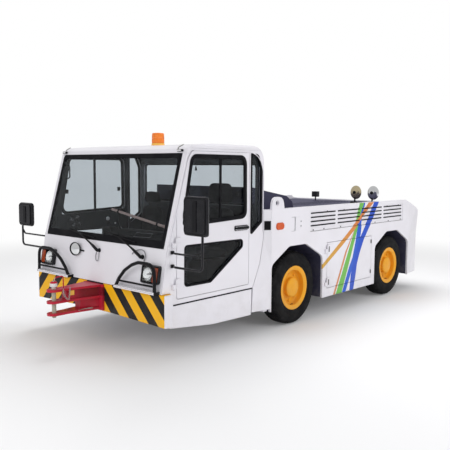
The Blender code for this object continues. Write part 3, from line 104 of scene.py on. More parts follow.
def feed(tree, socket, value):
    """Link a socket to another, or give it a plain value."""
    if isinstance(value, bpy.types.NodeSocket):
        tree.links.new(value, socket)
    else:
        socket.default_value = value


def put(tree, kind, inputs=None, **settings):
    made_node = tree.nodes.new(kind)
    for name, value in settings.items():
        setattr(made_node, name, value)
    for name, value in (inputs or {}).items():
        feed(tree, made_node.inputs[name], value)
    return made_node


def maths(tree, action, *values):
    step = put(tree, "ShaderNodeMath", operation=action)
    for socket, value in zip(step.inputs, values):
        feed(tree, socket, value)
    return step.outputs[0]


def tint(tree, share, first, second, blend="MIX"):
    """Mix two colours; the share is how much of the second shows."""
    mix = put(tree, "ShaderNodeMix", data_type="RGBA", blend_type=blend)
    feed(tree, mix.inputs[0], share)
    feed(tree, mix.inputs[6], first)
    feed(tree, mix.inputs[7], second)
    return mix.outputs[2]


def ramp(tree, value, start, end, low=0.0, high=1.0):
    """Carry a value from one range to another, smoothly."""
    inputs = {"Value": value, "From Min": start, "From Max": end, "To Min": low, "To Max": high}
    return put(tree, "ShaderNodeMapRange", inputs, interpolation_type="SMOOTHSTEP").outputs[0]


def noise(tree, place, scale, detail=2.0, rough=0.5):
    inputs = {"Vector": place, "Scale": scale, "Detail": detail, "Roughness": rough}
    return put(tree, "ShaderNodeTexNoise", inputs).outputs["Fac"]


FLOAT = "NodeSocketFloat"
COLOUR = "NodeSocketColor"
VECTOR = "NodeSocketVector"


def new_group(name, inputs, outputs):
    """An empty shader group: its tree, and the sockets that it takes in."""
    tree = bpy.data.node_groups.new(name, "ShaderNodeTree")
    for label, kind in inputs:
        tree.interface.new_socket(label, in_out="INPUT", socket_type=kind)
    for label, kind in outputs:
        tree.interface.new_socket(label, in_out="OUTPUT", socket_type=kind)
    taken = tree.nodes.new("NodeGroupInput")
    return tree, taken.outputs, tree.nodes.new("NodeGroupOutput").inputs


def use(tree, group, **inputs):
    """Put a group in a tree; underscores stand for spaces in socket names."""
    named = {name.replace("_", " "): value for name, value in inputs.items()}
    return put(tree, "ShaderNodeGroup", named, node_tree=group).outputs


def rgb(red, green, blue):
    return (red, green, blue, 1.0)


print("helpers ready")

# %% [markdown]
# ## Floor, world and lamps
# The picture shows the tractor cut out on white with a soft shadow. The floor is pale and
# keeps the shadow; further out it fades to plain white, so that no horizon line shows. The
# white comes from how the camera sees the floor and the world, not from more light.

# %% Floor and world
FLOOR_HALF = 45.0
FADE_START = 5.0
FADE_END = 11.0
FLOOR_GLOW = 0.08       # share of plain white close to the tractor
DAYLIGHT = 0.62


def seen_directly(tree):
    """One for the eye, also through glass, and none for the light on the object."""
    path = put(tree, "ShaderNodeLightPath")
    return maths(tree, "MAXIMUM", path.outputs["Is Camera Ray"],
                 path.outputs["Is Transmission Ray"])


def floor_finish():
    material = bpy.data.materials.new("studio_floor")
    material.use_nodes = True
    tree = material.node_tree
    tree.nodes.clear()
    place = put(tree, "ShaderNodeTexCoord").outputs["Object"]
    away = put(tree, "ShaderNodeVectorMath", {0: place}, operation="LENGTH").outputs["Value"]
    far = ramp(tree, away, FADE_START, FADE_END, FLOOR_GLOW, 1.0)
    share = maths(tree, "MULTIPLY", far, seen_directly(tree))
    plain = put(tree, "ShaderNodeBsdfDiffuse", {"Color": rgb(0.86, 0.86, 0.87)}).outputs[0]
    white = put(tree, "ShaderNodeEmission", {"Strength": 1.0}).outputs[0]
    mix = put(tree, "ShaderNodeMixShader", {0: share, 1: plain, 2: white}).outputs[0]
    put(tree, "ShaderNodeOutputMaterial", {"Surface": mix})
    return material


ground = bpy.data.meshes.new("floor")
corners = [(x * FLOOR_HALF, y * FLOOR_HALF, 0) for x, y in ((-1, -1), (1, -1), (1, 1), (-1, 1))]
ground.from_pydata(corners, [], [(0, 1, 2, 3)])
ground.materials.append(floor_finish())
floor = added("floor", ground)

world = bpy.data.worlds.new("daylight")
world.use_nodes = True
sky = world.node_tree
sky.nodes.clear()
level = maths(sky, "MULTIPLY_ADD", seen_directly(sky), 1.0 - DAYLIGHT, DAYLIGHT)
glow = put(sky, "ShaderNodeBackground", {"Color": rgb(1, 1, 1), "Strength": level}).outputs[0]
put(sky, "ShaderNodeOutputWorld", {"Surface": glow})
bpy.context.scene.world = world
print("floor", FLOOR_HALF * 2, "m wide")

# %% Lamps
# name: place, aim, width, power
LAMPS = {
    "overhead": ((-1.5, 1.5, 7.5), (0, 0, 0.5), 5.0, 400.0),
    "left_wall": ((8.5, 1.0, 4.0), (0, 0.5, 1.0), 5.0, 210.0),
    "front_wall": ((1.5, -9.0, 3.6), (0, -2.0, 1.0), 4.0, 130.0),
}
for name, (place, aim, width, power) in LAMPS.items():
    light = bpy.data.lights.new(name, "AREA")
    light.size = width
    light.energy = power
    lamp = added(name, light)
    lamp.location = place
    lamp.rotation_euler = (Vector(aim) - Vector(place)).to_track_quat("-Z", "Y").to_euler()
    lamp.visible_camera = False
    lamp.visible_glossy = False
    lamp.visible_transmission = False
print(len(LAMPS), "lamps")

# %% [markdown]
# ## Shared effects
# Sprayed panels have three things in common: a hair of roundness on every edge that catches
# light, a colour that drifts a little from one place to the next, and road film that climbs
# from the bottom. Two groups hold them, so a change in a group reaches every finish.

# %% Group: rounded edges
FLAT_ENOUGH = 0.02
SHARP_ENOUGH = 0.35

soft_edges, taken, given = new_group(
    "soft_edges", (("Radius", FLOAT),), (("Normal", VECTOR), ("Edge", FLOAT)))
rounding = put(soft_edges, "ShaderNodeBevel", {"Radius": taken["Radius"]}, samples=5)
facing = put(soft_edges, "ShaderNodeNewGeometry").outputs["Normal"]
turned_by = put(soft_edges, "ShaderNodeVectorMath", {0: rounding.outputs[0], 1: facing},
                operation="DOT_PRODUCT").outputs["Value"]
bend_share = maths(soft_edges, "SUBTRACT", 1.0, turned_by)
feed(soft_edges, given["Normal"], rounding.outputs[0])
feed(soft_edges, given["Edge"], ramp(soft_edges, bend_share, FLAT_ENOUGH, SHARP_ENOUGH))
print("soft_edges", len(soft_edges.nodes), "nodes")

# %% Group: weathered paint
PATCH_SCALE = 1.7       # drifts of tone, per metre
FILM_SCALE = 7.0
CHIP_SCALE = 46.0
PEEL_SCALE = 210.0      # the fine waviness of sprayed paint
FILM_TOP_Z = 0.95
FILM_COLOUR = rgb(0.30, 0.275, 0.24)
CHIP_COLOUR = rgb(0.13, 0.12, 0.12)

weathered, taken, given = new_group(
    "weathered_paint",
    (("Vector", VECTOR), ("Paint", COLOUR), ("Edge", FLOAT), ("Wear", FLOAT),
     ("Dust", FLOAT), ("Gloss", FLOAT)),
    (("Color", COLOUR), ("Roughness", FLOAT), ("Height", FLOAT)))
spot = taken["Vector"]
drift = noise(weathered, spot, PATCH_SCALE, 3.0)
faded = tint(weathered, ramp(weathered, drift, 0.35, 0.70, 0.0, 0.35), taken["Paint"],
             rgb(0.88, 0.87, 0.86), "MULTIPLY")
height_of = put(weathered, "ShaderNodeSeparateXYZ", {0: spot}).outputs["Z"]
low_down = ramp(weathered, height_of, FILM_TOP_Z, 0.15)
smear = ramp(weathered, noise(weathered, spot, FILM_SCALE, 4.0, 0.65), 0.38, 0.72)
film = maths(weathered, "MULTIPLY", maths(weathered, "MULTIPLY", low_down, smear), taken["Dust"])
dusty = tint(weathered, film, faded, FILM_COLOUR)
chips = ramp(weathered, noise(weathered, spot, CHIP_SCALE, 3.0, 0.6), 0.52, 0.60)
worn = maths(weathered, "MULTIPLY", maths(weathered, "MULTIPLY", chips, taken["Edge"]),
             taken["Wear"])
feed(weathered, given["Color"], tint(weathered, worn, dusty, CHIP_COLOUR))
dulled = maths(weathered, "MULTIPLY_ADD", film, 0.35, taken["Gloss"])
dulled = maths(weathered, "MULTIPLY_ADD", drift, 0.10, dulled)
feed(weathered, given["Roughness"], maths(weathered, "MULTIPLY_ADD", worn, 0.25, dulled))
feed(weathered, given["Height"], noise(weathered, spot, PEEL_SCALE, 1.0))
print("weathered_paint", len(weathered.nodes), "nodes")

# %% [markdown]
# ## Patterns that are painted on
# The ribbons on the body side, the slanting bars on the bumper and the dark trim inside the
# cab are paint, not parts. Each is a group that takes the place on the object and the plain
# paint, and gives back the colour. So a ribbon runs on over seams, vents and the lid, as the
# real film does, without one extra face.

# %% Group: ribbons on the body side
RIBBON_LOW_Z, RIBBON_HIGH_Z = 0.25, 1.60
RIBBON_START_Y, RIBBON_END_Y = -1.0, 2.0
# Front and rear edge of each ribbon, as pairs of (height, place along the body)
RIBBONS = (
    (rgb(0.150, 0.470, 0.070),
     ((0.25, 0.517), (0.27, 0.527), (1.146, 1.004), (1.544, 1.146), (1.60, 1.160)),
     ((0.25, 0.681), (0.275, 0.691), (1.174, 1.104), (1.542, 1.274), (1.60, 1.296))),
    (rgb(0.62, 0.25, 0.10),
     ((0.25, 0.441), (0.276, 0.456), (0.858, 0.762), (1.146, 0.990), (1.60, 1.20)),
     ((0.25, 0.498), (0.276, 0.510), (0.858, 0.812), (1.146, 1.002), (1.60, 1.19))),
    (rgb(0.006, 0.095, 0.58),
     ((0.25, 0.690), (0.274, 0.700), (0.592, 0.865), (0.752, 0.973), (0.970, 1.046),
      (1.140, 1.088), (1.326, 1.164), (1.542, 1.274), (1.60, 1.300)),
     ((0.25, 0.790), (0.264, 0.798), (0.563, 0.959), (0.720, 1.055), (0.900, 1.150),
      (1.096, 1.205), (1.305, 1.235), (1.542, 1.313), (1.60, 1.330))),
    (rgb(0.004, 0.070, 0.55),
     ((0.25, 0.904), (0.278, 0.906), (0.496, 0.935), (0.664, 0.987), (0.829, 1.070),
      (1.029, 1.180), (1.161, 1.295), (1.346, 1.444), (1.541, 1.578), (1.60, 1.620)),
     ((0.25, 1.012), (0.276, 1.020), (0.479, 1.077), (0.650, 1.113), (0.817, 1.191),
      (1.001, 1.303), (1.134, 1.420), (1.320, 1.591), (1.540, 1.734), (1.60, 1.781))),
    (rgb(0.66, 0.215, 0.050),
     ((0.25, -0.664), (0.747, 0.170), (1.015, 0.620), (1.203, 0.934), (1.377, 1.196),
      (1.542, 1.398), (1.60, 1.469)),
     ((0.25, -0.608), (0.682, 0.172), (0.975, 0.701), (1.178, 1.036), (1.388, 1.317),
      (1.540, 1.560), (1.60, 1.653))),
)
RIBBON_FACE_X = 1.196   # only what lies this far out is painted
GOLD = rgb(0.630, 0.360, 0.050)
GOLD_TOP_Z = 1.30       # above it the last ribbon is orange


def traced(tree, height_share, line):
    """The place along the body of a line that is given by its points."""
    curve = put(tree, "ShaderNodeFloatCurve", {"Value": height_share})
    points = curve.mapping.curves[0].points
    span_z = RIBBON_HIGH_Z - RIBBON_LOW_Z
    span_y = RIBBON_END_Y - RIBBON_START_Y
    for number, (z, y) in enumerate(line):
        across = (z - RIBBON_LOW_Z) / span_z
        along = (y - RIBBON_START_Y) / span_y
        if number in (0, len(line) - 1):
            end = points[0] if number == 0 else points[len(points) - 1]
            end.location = (across, along)
        else:
            points.new(across, along)
    for point in points:
        point.handle_type = "VECTOR"
    curve.mapping.update()
    return maths(tree, "MULTIPLY_ADD", curve.outputs[0], span_y, RIBBON_START_Y)


ribbons, taken, given = new_group(
    "body_ribbons", (("Vector", VECTOR), ("Paint", COLOUR)), (("Color", COLOUR),))
parts_of = put(ribbons, "ShaderNodeSeparateXYZ", {0: taken["Vector"]}).outputs
ribbon_height = maths(ribbons, "DIVIDE",
                      maths(ribbons, "SUBTRACT", parts_of["Z"], RIBBON_LOW_Z),
                      RIBBON_HIGH_Z - RIBBON_LOW_Z)
outside = maths(ribbons, "GREATER_THAN", maths(ribbons, "ABSOLUTE", parts_of["X"]),
                RIBBON_FACE_X)
painted_so_far = taken["Paint"]
for shade, front_line, rear_line in RIBBONS:
    behind_front = maths(ribbons, "GREATER_THAN", parts_of["Y"],
                         traced(ribbons, ribbon_height, front_line))
    before_rear = maths(ribbons, "LESS_THAN", parts_of["Y"],
                        traced(ribbons, ribbon_height, rear_line))
    inside = maths(ribbons, "MULTIPLY", behind_front, before_rear)
    if shade is RIBBONS[-1][0]:
        shade = tint(ribbons, ramp(ribbons, parts_of["Z"], GOLD_TOP_Z, 0.70), shade, GOLD)
    painted_so_far = tint(ribbons, maths(ribbons, "MULTIPLY", inside, outside),
                          painted_so_far, shade)
feed(ribbons, given["Color"], painted_so_far)
print("body_ribbons", len(RIBBONS), "ribbons")

# %% Group: slanting bars on the bumper
BAR_PITCH = 0.318
BAR_WIDTH = 0.156
BAR_START = 0.313
BAR_SLOPE = 0.93        # sideways for each metre of height
BUMPER_TOP_Z = 0.740
BUMPER_EDGE_X = 1.196   # the white strip at each end begins here

hazard, taken, given = new_group(
    "bumper_bars", (("Vector", VECTOR), ("Light", COLOUR), ("Dark", COLOUR),
                    ("End", COLOUR)), (("Color", COLOUR),))
parts_of = put(hazard, "ShaderNodeSeparateXYZ", {0: taken["Vector"]}).outputs
from_middle = maths(hazard, "ABSOLUTE", parts_of["X"])
slid = maths(hazard, "MULTIPLY_ADD", maths(hazard, "SUBTRACT", parts_of["Z"], BUMPER_TOP_Z),
             BAR_SLOPE, from_middle)
phase = maths(hazard, "FLOORED_MODULO", maths(hazard, "SUBTRACT", slid, BAR_START), BAR_PITCH)
is_dark = maths(hazard, "LESS_THAN", phase, BAR_WIDTH)
barred = tint(hazard, is_dark, taken["Light"], taken["Dark"])
at_end = maths(hazard, "GREATER_THAN", from_middle, BUMPER_EDGE_X)
feed(hazard, given["Color"], tint(hazard, at_end, barred, taken["End"]))
print("bumper_bars", len(hazard.nodes), "nodes")

# %% Group: dark trim inside the cab
TRIM_X = 1.1125
TRIM_LOW_Z, TRIM_HIGH_Z = 0.640, 2.283
TRIM_FRONT_Y, TRIM_REAR_Y = -2.700, -1.145
GLASS_LOW_Y, GLASS_LOW_Z = -2.732, 1.2155
GLASS_TOP_Y, GLASS_TOP_Z = -2.452, 2.2305
GLASS_SLOPE = (GLASS_TOP_Y - GLASS_LOW_Y) / (GLASS_TOP_Z - GLASS_LOW_Z)

lining, taken, given = new_group(
    "cab_trim", (("Vector", VECTOR), ("Paint", COLOUR), ("Trim", COLOUR)),
    (("Color", COLOUR), ("Inside", FLOAT)))
parts_of = put(lining, "ShaderNodeSeparateXYZ", {0: taken["Vector"]}).outputs
tests = (
    maths(lining, "LESS_THAN", maths(lining, "ABSOLUTE", parts_of["X"]), TRIM_X),
    maths(lining, "GREATER_THAN", parts_of["Z"], TRIM_LOW_Z),
    maths(lining, "LESS_THAN", parts_of["Z"], TRIM_HIGH_Z),
    maths(lining, "GREATER_THAN", parts_of["Y"], TRIM_FRONT_Y),
    maths(lining, "LESS_THAN", parts_of["Y"], TRIM_REAR_Y),
)
leaned = maths(lining, "SUBTRACT", parts_of["Y"],
               maths(lining, "MULTIPLY", parts_of["Z"], GLASS_SLOPE))
within = maths(lining, "GREATER_THAN", leaned, GLASS_LOW_Y - GLASS_LOW_Z * GLASS_SLOPE + 0.040)
for test in tests:
    within = maths(lining, "MULTIPLY", within, test)
feed(lining, given["Color"], tint(lining, within, taken["Paint"], taken["Trim"]))
feed(lining, given["Inside"], within)
print("cab_trim", len(lining.nodes), "nodes")

# %% [markdown]
# ## Painted finishes
# The body is a slightly lavender white under a clear coat. The same recipe with other numbers
# gives the slate chassis paint, the red of the towing jaws, the yellow of the wheels and the
# satin black of the tube guards.

# %% Painted finishes
EDGE_RADIUS = 0.006
PEEL_DEPTH = 0.05
COAT = 0.30             # clear coat of the body paint
COAT_ROUGH = 0.08


def new_finish(name):
    """An empty material: its tree, its shader's inputs and the place on the object."""
    material = bpy.data.materials.new(name)
    material.use_nodes = True
    tree = material.node_tree
    shader = tree.nodes["Principled BSDF"].inputs
    place = put(tree, "ShaderNodeTexCoord").outputs["Object"]
    return material, tree, shader, place


def painted(name, colour, gloss=0.26, wear=0.5, dust=0.12, coat=COAT, pattern=None,
            metallic=0.0, shine=0.5):
    """Sprayed paint; a pattern is a function that recolours it."""
    material, tree, shader, place = new_finish(name)
    shader["Specular IOR Level"].default_value = shine
    soft = use(tree, soft_edges, Radius=EDGE_RADIUS)
    base = colour if pattern is None else pattern(tree, place, colour)
    skin = use(tree, weathered, Vector=place, Paint=base, Edge=soft["Edge"], Wear=wear,
               Dust=dust, Gloss=gloss)
    bump = put(tree, "ShaderNodeBump", {"Height": skin["Height"], "Strength": PEEL_DEPTH,
                                        "Distance": 0.002, "Normal": soft["Normal"]})
    feed(tree, shader["Base Color"], skin["Color"])
    feed(tree, shader["Roughness"], skin["Roughness"])
    feed(tree, shader["Normal"], bump.outputs[0])
    shader["Coat Weight"].default_value = coat
    shader["Coat Roughness"].default_value = COAT_ROUGH
    shader["Metallic"].default_value = metallic
    return material


WHITE = rgb(0.800, 0.785, 0.835)
SLATE = rgb(0.045, 0.044, 0.080)
NEAR_BLACK = rgb(0.009, 0.009, 0.011)
TRIM_GREY = rgb(0.014, 0.019, 0.027)
RED = rgb(0.500, 0.008, 0.034)
RIM_YELLOW = rgb(0.860, 0.390, 0.018)
BAR_YELLOW = rgb(0.920, 0.480, 0.010)
ZINC = rgb(0.430, 0.420, 0.330)
CAP_WHITE = rgb(0.72, 0.70, 0.70)


def ribboned(tree, place, colour):
    return use(tree, ribbons, Vector=place, Paint=colour)["Color"]


def trimmed(tree, place, colour):
    """White outside and dark trim inside, where the clear coat ends too."""
    trim = use(tree, lining, Vector=place, Paint=colour, Trim=TRIM_GREY)
    coat = maths(tree, "MULTIPLY", maths(tree, "SUBTRACT", 1.0, trim["Inside"]), COAT)
    feed(tree, tree.nodes["Principled BSDF"].inputs["Coat Weight"], coat)
    return trim["Color"]


def barred_front(tree, place, colour):
    return use(tree, hazard, Vector=place, Light=colour, Dark=NEAR_BLACK, End=WHITE)["Color"]


body_white = painted("body_white", WHITE)
side_white = painted("ribboned_white", WHITE, coat=0.10, pattern=ribboned, shine=0.3)
cab_white = painted("cab_white", WHITE, pattern=trimmed)
bumper_finish = painted("barred_bumper", BAR_YELLOW, 0.40, 0.9, 0.12, 0.0, pattern=barred_front,
                        shine=0.2)
slate_paint = painted("slate_paint", SLATE, 0.55, 0.7, 0.35, 0.0, shine=0.2)
satin_black = painted("satin_black", NEAR_BLACK, 0.42, 0.4, 0.15, 0.0, shine=0.15)
rim_paint = painted("wheel_yellow", RIM_YELLOW, 0.38, 0.4, 0.15, 0.0, shine=0.3)
cast_steel = painted("oily_steel", rgb(0.04, 0.04, 0.042), 0.55, 0.4, 0.4, 0.0, metallic=0.2,
                     shine=0.3)
print("painted finishes ready")

# %% Red jaw paint with a bare pin
PIN_Y, PIN_RADIUS = -3.360, 0.026
CAP_RADIUS = 0.062
CAP_LOW_Z, CAP_TOP_Z = 0.742, 0.798
CHANNEL_SHADE_Z = 0.6525          # painted shade: the channel between the upper plates is darkened as if in shadow
CHANNEL_SHADE_HALF = 0.050
CHANNEL_SHADE = rgb(0.095, 0.004, 0.010)


def jaw_pattern(tree, place, colour):
    """The pin through the jaw is plated, its cap white and the rest red, with painted shade in the
    channel between the upper plates.
    """
    axes = put(tree, "ShaderNodeSeparateXYZ", {0: place}).outputs
    off_x = maths(tree, "POWER", axes["X"], 2.0)
    off_y = maths(tree, "POWER", maths(tree, "SUBTRACT", axes["Y"], PIN_Y), 2.0)
    away = maths(tree, "SQRT", maths(tree, "ADD", off_x, off_y))
    on_pin = maths(tree, "LESS_THAN", away, PIN_RADIUS)
    near_cap = maths(tree, "LESS_THAN", away, CAP_RADIUS)
    above = maths(tree, "GREATER_THAN", axes["Z"], CAP_LOW_Z)
    low_cap = maths(tree, "LESS_THAN", axes["Z"], CAP_TOP_Z)
    pinned = tint(tree, on_pin, colour, ZINC)
    capped = maths(tree, "MULTIPLY", maths(tree, "MULTIPLY", near_cap, above), low_cap)
    # painted shade: a dark red in the channel between the upper plates, growing towards the rear
    off_middle = maths(tree, "ABSOLUTE", maths(tree, "SUBTRACT", axes["Z"], CHANNEL_SHADE_Z))
    channel_shade = maths(tree, "MULTIPLY", maths(tree, "LESS_THAN", off_middle, CHANNEL_SHADE_HALF),
                       ramp(tree, axes["Y"], -3.19, -3.02, 0.0, 0.72))
    pinned = tint(tree, channel_shade, pinned, CHANNEL_SHADE)
    return tint(tree, capped, pinned, CAP_WHITE)


jaw_red = painted("jaw_red", RED, 0.34, 0.9, 0.12, 0.1, pattern=jaw_pattern, shine=0.3)
print("jaw_red", len(jaw_red.node_tree.nodes), "nodes")

# %% [markdown]
# ## Glass, rubber, plastic and cloth
# The panes are lightly tinted safety glass: real thin solids that bend light twice. Rubber is
# dark and dull with a bloom of grey, and moulded plastic has a pebbled skin.

# %% Glass and lenses
SMEAR_ROUGH = 0.05


def glassy(name, colour, ior):
    """See-through material whose faint smears only change its gloss."""
    material, tree, shader, place = new_finish(name)
    smears = ramp(tree, noise(tree, place, 5.0, 4.0, 0.6), 0.45, 0.75, 0.0, SMEAR_ROUGH)
    shade = tint(tree, ramp(tree, noise(tree, place, 2.3), 0.3, 0.7, 0.0, 0.12), colour,
                 rgb(*(part * 0.9 for part in colour[:3])))
    feed(tree, shader["Base Color"], shade)
    feed(tree, shader["Roughness"], smears)
    shader["Transmission Weight"].default_value = 1.0
    shader["IOR"].default_value = ior
    return material


tinted_glass = glassy("tinted_glass", rgb(0.665, 0.700, 0.725), 1.2)
clear_lens = glassy("clear_lens", rgb(0.97, 0.98, 0.98), 1.4)
print("glass ready")

# %% Rubber, plastic and bright metal


def plain(name, colour, gloss, grain, depth, metallic=0.0, *, drift, coat=0.0, edge=0.002,
          shine=0.5, bloom=(0.35, 0.34, 0.33)):
    """A moulded or cast finish: grain in the bump, drift in the colour."""
    material, tree, shader, place = new_finish(name)
    shader["Specular IOR Level"].default_value = shine
    soft = use(tree, soft_edges, Radius=edge)
    cloud = ramp(tree, noise(tree, place, 9.0, 3.0, 0.6), 0.35, 0.70, 0.0, drift)
    shade = tint(tree, cloud, colour, rgb(*bloom))
    rubbed = tint(tree, maths(tree, "MULTIPLY", soft["Edge"], 0.10), shade, rgb(0.5, 0.5, 0.5))
    fine = noise(tree, place, grain)
    bump = put(tree, "ShaderNodeBump", {"Height": fine, "Strength": depth, "Distance": 0.001,
                                        "Normal": soft["Normal"]})
    feed(tree, shader["Base Color"], rubbed)
    feed(tree, shader["Roughness"], maths(tree, "MULTIPLY_ADD", cloud, 0.6, gloss))
    feed(tree, shader["Normal"], bump.outputs[0])
    shader["Metallic"].default_value = metallic
    shader["Coat Weight"].default_value = coat
    return material


seal_rubber = plain("seal_rubber", rgb(0.006, 0.006, 0.008), 0.60, 320.0, 0.15, drift=0.02,
                    shine=0.08)
tyre_rubber = plain("tyre_rubber", rgb(0.004, 0.004, 0.005), 0.65, 140.0, 0.25, drift=0.03,
                    shine=0.12)
dark_plastic = plain("dark_plastic", rgb(0.010, 0.011, 0.013), 0.60, 420.0, 0.30, drift=0.02,
                     shine=0.12)
gloss_black = plain("gloss_black", rgb(0.007, 0.007, 0.010), 0.22, 60.0, 0.04, drift=0.02,
                    shine=0.30)
dark_steel = plain("dark_steel", rgb(0.035, 0.034, 0.036), 0.42, 90.0, 0.10, 0.5, drift=0.10)
bright_metal = plain("bright_metal", rgb(0.78, 0.79, 0.80), 0.10, 80.0, 0.03, 1.0, drift=0.10)
zinc_plate = plain("zinc_plate", rgb(0.55, 0.55, 0.52), 0.30, 120.0, 0.12, 0.9, drift=0.2)
brass = plain("brass_finish", rgb(0.66, 0.56, 0.36), 0.22, 90.0, 0.06, 1.0, drift=0.15)
amber_shell = plain("amber_shell", rgb(0.90, 0.21, 0.012), 0.20, 60.0, 0.04, coat=0.2,
                    drift=0.08, bloom=(1.0, 0.45, 0.08))
brown_amber = plain("brown_amber", rgb(0.40, 0.060, 0.016), 0.18, 60.0, 0.05, coat=0.2,
                    drift=0.05, bloom=(0.75, 0.25, 0.08))
marker_orange = plain("marker_orange", rgb(0.62, 0.085, 0.012), 0.16, 60.0, 0.05, coat=0.2,
                      drift=0.06, bloom=(0.9, 0.35, 0.10))
red_shell = plain("red_shell", rgb(0.55, 0.015, 0.012), 0.16, 60.0, 0.04, coat=0.6, drift=0.06)
yellow_shell = plain("yellow_shell", rgb(0.95, 0.52, 0.07), 0.25, 60.0, 0.04, coat=0.4,
                     drift=0.06)
bar_leather = plain("bar_leather", rgb(0.66, 0.48, 0.44), 0.55, 260.0, 0.35, drift=0.10,
                    shine=0.25)
white_plastic = plain("white_plastic", rgb(0.70, 0.69, 0.70), 0.35, 160.0, 0.08, drift=0.10)
ledge_white = plain("ledge_white", rgb(0.80, 0.785, 0.83), 0.35, 60.0, 0.02, drift=0.05,
                    edge=0.0004)
grey_rubber = plain("grey_hose", rgb(0.22, 0.22, 0.24), 0.50, 200.0, 0.10, drift=0.10)
seat_cloth = plain("seat_cloth", rgb(0.014, 0.014, 0.016), 0.85, 900.0, 0.6, drift=0.06,
                   shine=0.15)
print("rubber, plastic and metal ready")

# %% [markdown]
# ## Small tools for meshes
# Most pieces are one of four shapes: a block, an outline with some thickness, a profile turned
# about an axis, or a section carried along a path. Each tool adds to an open mesh, so that one
# piece can be made of several.

# %% Mesh helpers
ARC_STEPS = 5
# stand-offs that keep a laid-on piece from sharing a face with what lies below it
HAIR, CLEAR = 0.0002, 0.0003


def arcs(points):
    """An outline whose corners are arcs: each point is (a, b, radius)."""
    outline = []
    count = len(points)
    for index, (a, b, radius) in enumerate(points):
        corner = Vector((a, b))
        if radius == 0:
            outline.append(corner)
            continue
        before = Vector(points[index - 1][:2]) - corner
        after = Vector(points[(index + 1) % count][:2]) - corner
        half = before.angle(after) / 2
        reach = min(radius / math.tan(half), before.length / 2, after.length / 2)
        actual = reach * math.tan(half)
        middle = corner + (before.normalized() + after.normalized()).normalized() * (
            actual / math.sin(half))
        start = corner + before.normalized() * reach - middle
        sweep = start.angle_signed(corner + after.normalized() * reach - middle)
        for step in range(ARC_STEPS + 1):
            outline.append(middle + Matrix.Rotation(-sweep * step / ARC_STEPS, 2) @ start)
    return outline


def grown(points, edge):
    """The same outline moved out by an edge, or in where the edge is negative."""
    area = sum(
        p[0] * q[1] - q[0] * p[1] for p, q in zip(points, [*points[1:], points[0]]))
    sign = 1 if area > 0 else -1
    result = []
    count = len(points)
    for index, (a, b, radius) in enumerate(points):
        here = Vector((a, b))
        came = (here - Vector(points[index - 1][:2])).normalized()
        goes = (Vector(points[(index + 1) % count][:2]) - here).normalized()
        out_came = Vector((came.y, -came.x)) * sign
        out_goes = Vector((goes.y, -goes.x)) * sign
        middle = (out_came + out_goes).normalized()
        moved = here + middle * (edge / max(0.3, middle.dot(out_came)))
        result.append((moved.x, moved.y, max(0.004, radius + edge)))
    return result


def lay(axis, a, b, depth):
    """A point of a flat outline that is pushed along an axis."""
    return {"x": (depth, a, b), "y": (a, depth, b), "z": (a, b, depth)}[axis]


def skin_between(shape, first, second):
    """Four-cornered faces between two rings with the same number of points."""
    for index, start in enumerate(first):
        after = (index + 1) % len(first)
        shape.faces.new((start, first[after], second[after], second[index]))


def skin_along(shape, rings, closed=False):
    """Skin a row of rings, and close the row on itself where asked."""
    for first, second in zip(rings, rings[1:]):
        skin_between(shape, first, second)
    if closed:
        skin_between(shape, rings[-1], rings[0])


def block(shape, low, high):
    middle = (Vector(low) + Vector(high)) / 2
    size = Vector(high) - Vector(low)
    place = Matrix.Translation(middle) @ Matrix.Diagonal((*size, 1))
    return bmesh.ops.create_cube(shape, size=1, matrix=place)["verts"]


def plate(shape, outline, axis, low, high):
    """A filled outline with thickness along an axis."""
    ends = [[shape.verts.new(lay(axis, a, b, depth)) for a, b in outline]
            for depth in (low, high)]
    skin_between(shape, *ends)
    shape.faces.new(ends[0])
    shape.faces.new(ends[1])
    return [*ends[0], *ends[1]]


def ring_plate(shape, outer, inner, axis, low, high):
    """A frame between two outlines with the same number of points."""
    loops = [
        [shape.verts.new(lay(axis, a, b, depth)) for a, b in outline]
        for outline, depth in ((outer, low), (outer, high), (inner, high), (inner, low))]
    skin_along(shape, loops, closed=True)
    return [corner for loop in loops for corner in loop]


def upright(axis, centre):
    """Lay a turned piece's axis along x, y or z."""
    turns = {"x": ("Y", 90), "-x": ("Y", -90), "y": ("X", -90), "z": ("Z", 0)}
    letter, degrees = turns[axis]
    return Matrix.Translation(centre) @ Matrix.Rotation(math.radians(degrees), 4, letter)


def facing(place, degrees):
    """A frame for a turned piece whose axis lies level, turned from +y by some degrees."""
    return (Matrix.Translation(place) @ Matrix.Rotation(math.radians(degrees), 4, "Z")
            @ upright("y", (0, 0, 0)))


def polar(radius, turn, along):
    """A point by its distance from an axis, its turn about it and its place along it."""
    return Vector((radius * math.cos(turn), radius * math.sin(turn), along))


def turned(shape, profile, place, steps=32, closed=False):
    """A profile of (radius, height) turned about its axis."""
    rings = []
    for radius, along in profile:
        if radius < 1e-6:
            rings.append([shape.verts.new(place @ Vector((0, 0, along)))])
            continue
        rings.append([shape.verts.new(place @ polar(radius, 2 * math.pi * step / steps, along))
                      for step in range(steps)])
    pairs = list(zip(rings, rings[1:]))
    if closed:
        pairs.append((rings[-1], rings[0]))
    for first, second in pairs:
        if len(first) == 1 or len(second) == 1:
            pole, ring = (first, second) if len(first) == 1 else (second, first)
            if len(ring) > 1:
                for index in range(steps):
                    shape.faces.new((pole[0], ring[index], ring[(index + 1) % steps]))
        else:
            skin_between(shape, first, second)
    return [corner for ring in rings for corner in ring]


def bent(points, radius, steps=6):
    """A path whose inner corners are rounded."""
    path = [Vector(points[0])]
    for before, corner, after in zip(points, points[1:], points[2:]):
        corner = Vector(corner)
        back = Vector(before) - corner
        onward = Vector(after) - corner
        reach = min(radius, back.length / 2.1, onward.length / 2.1)
        start = corner + back.normalized() * reach
        end = corner + onward.normalized() * reach
        for step in range(steps + 1):
            share = step / steps
            path.append(start * (1 - share) ** 2 + corner * 2 * share * (1 - share)
                        + end * share ** 2)
    path.append(Vector(points[-1]))
    return path


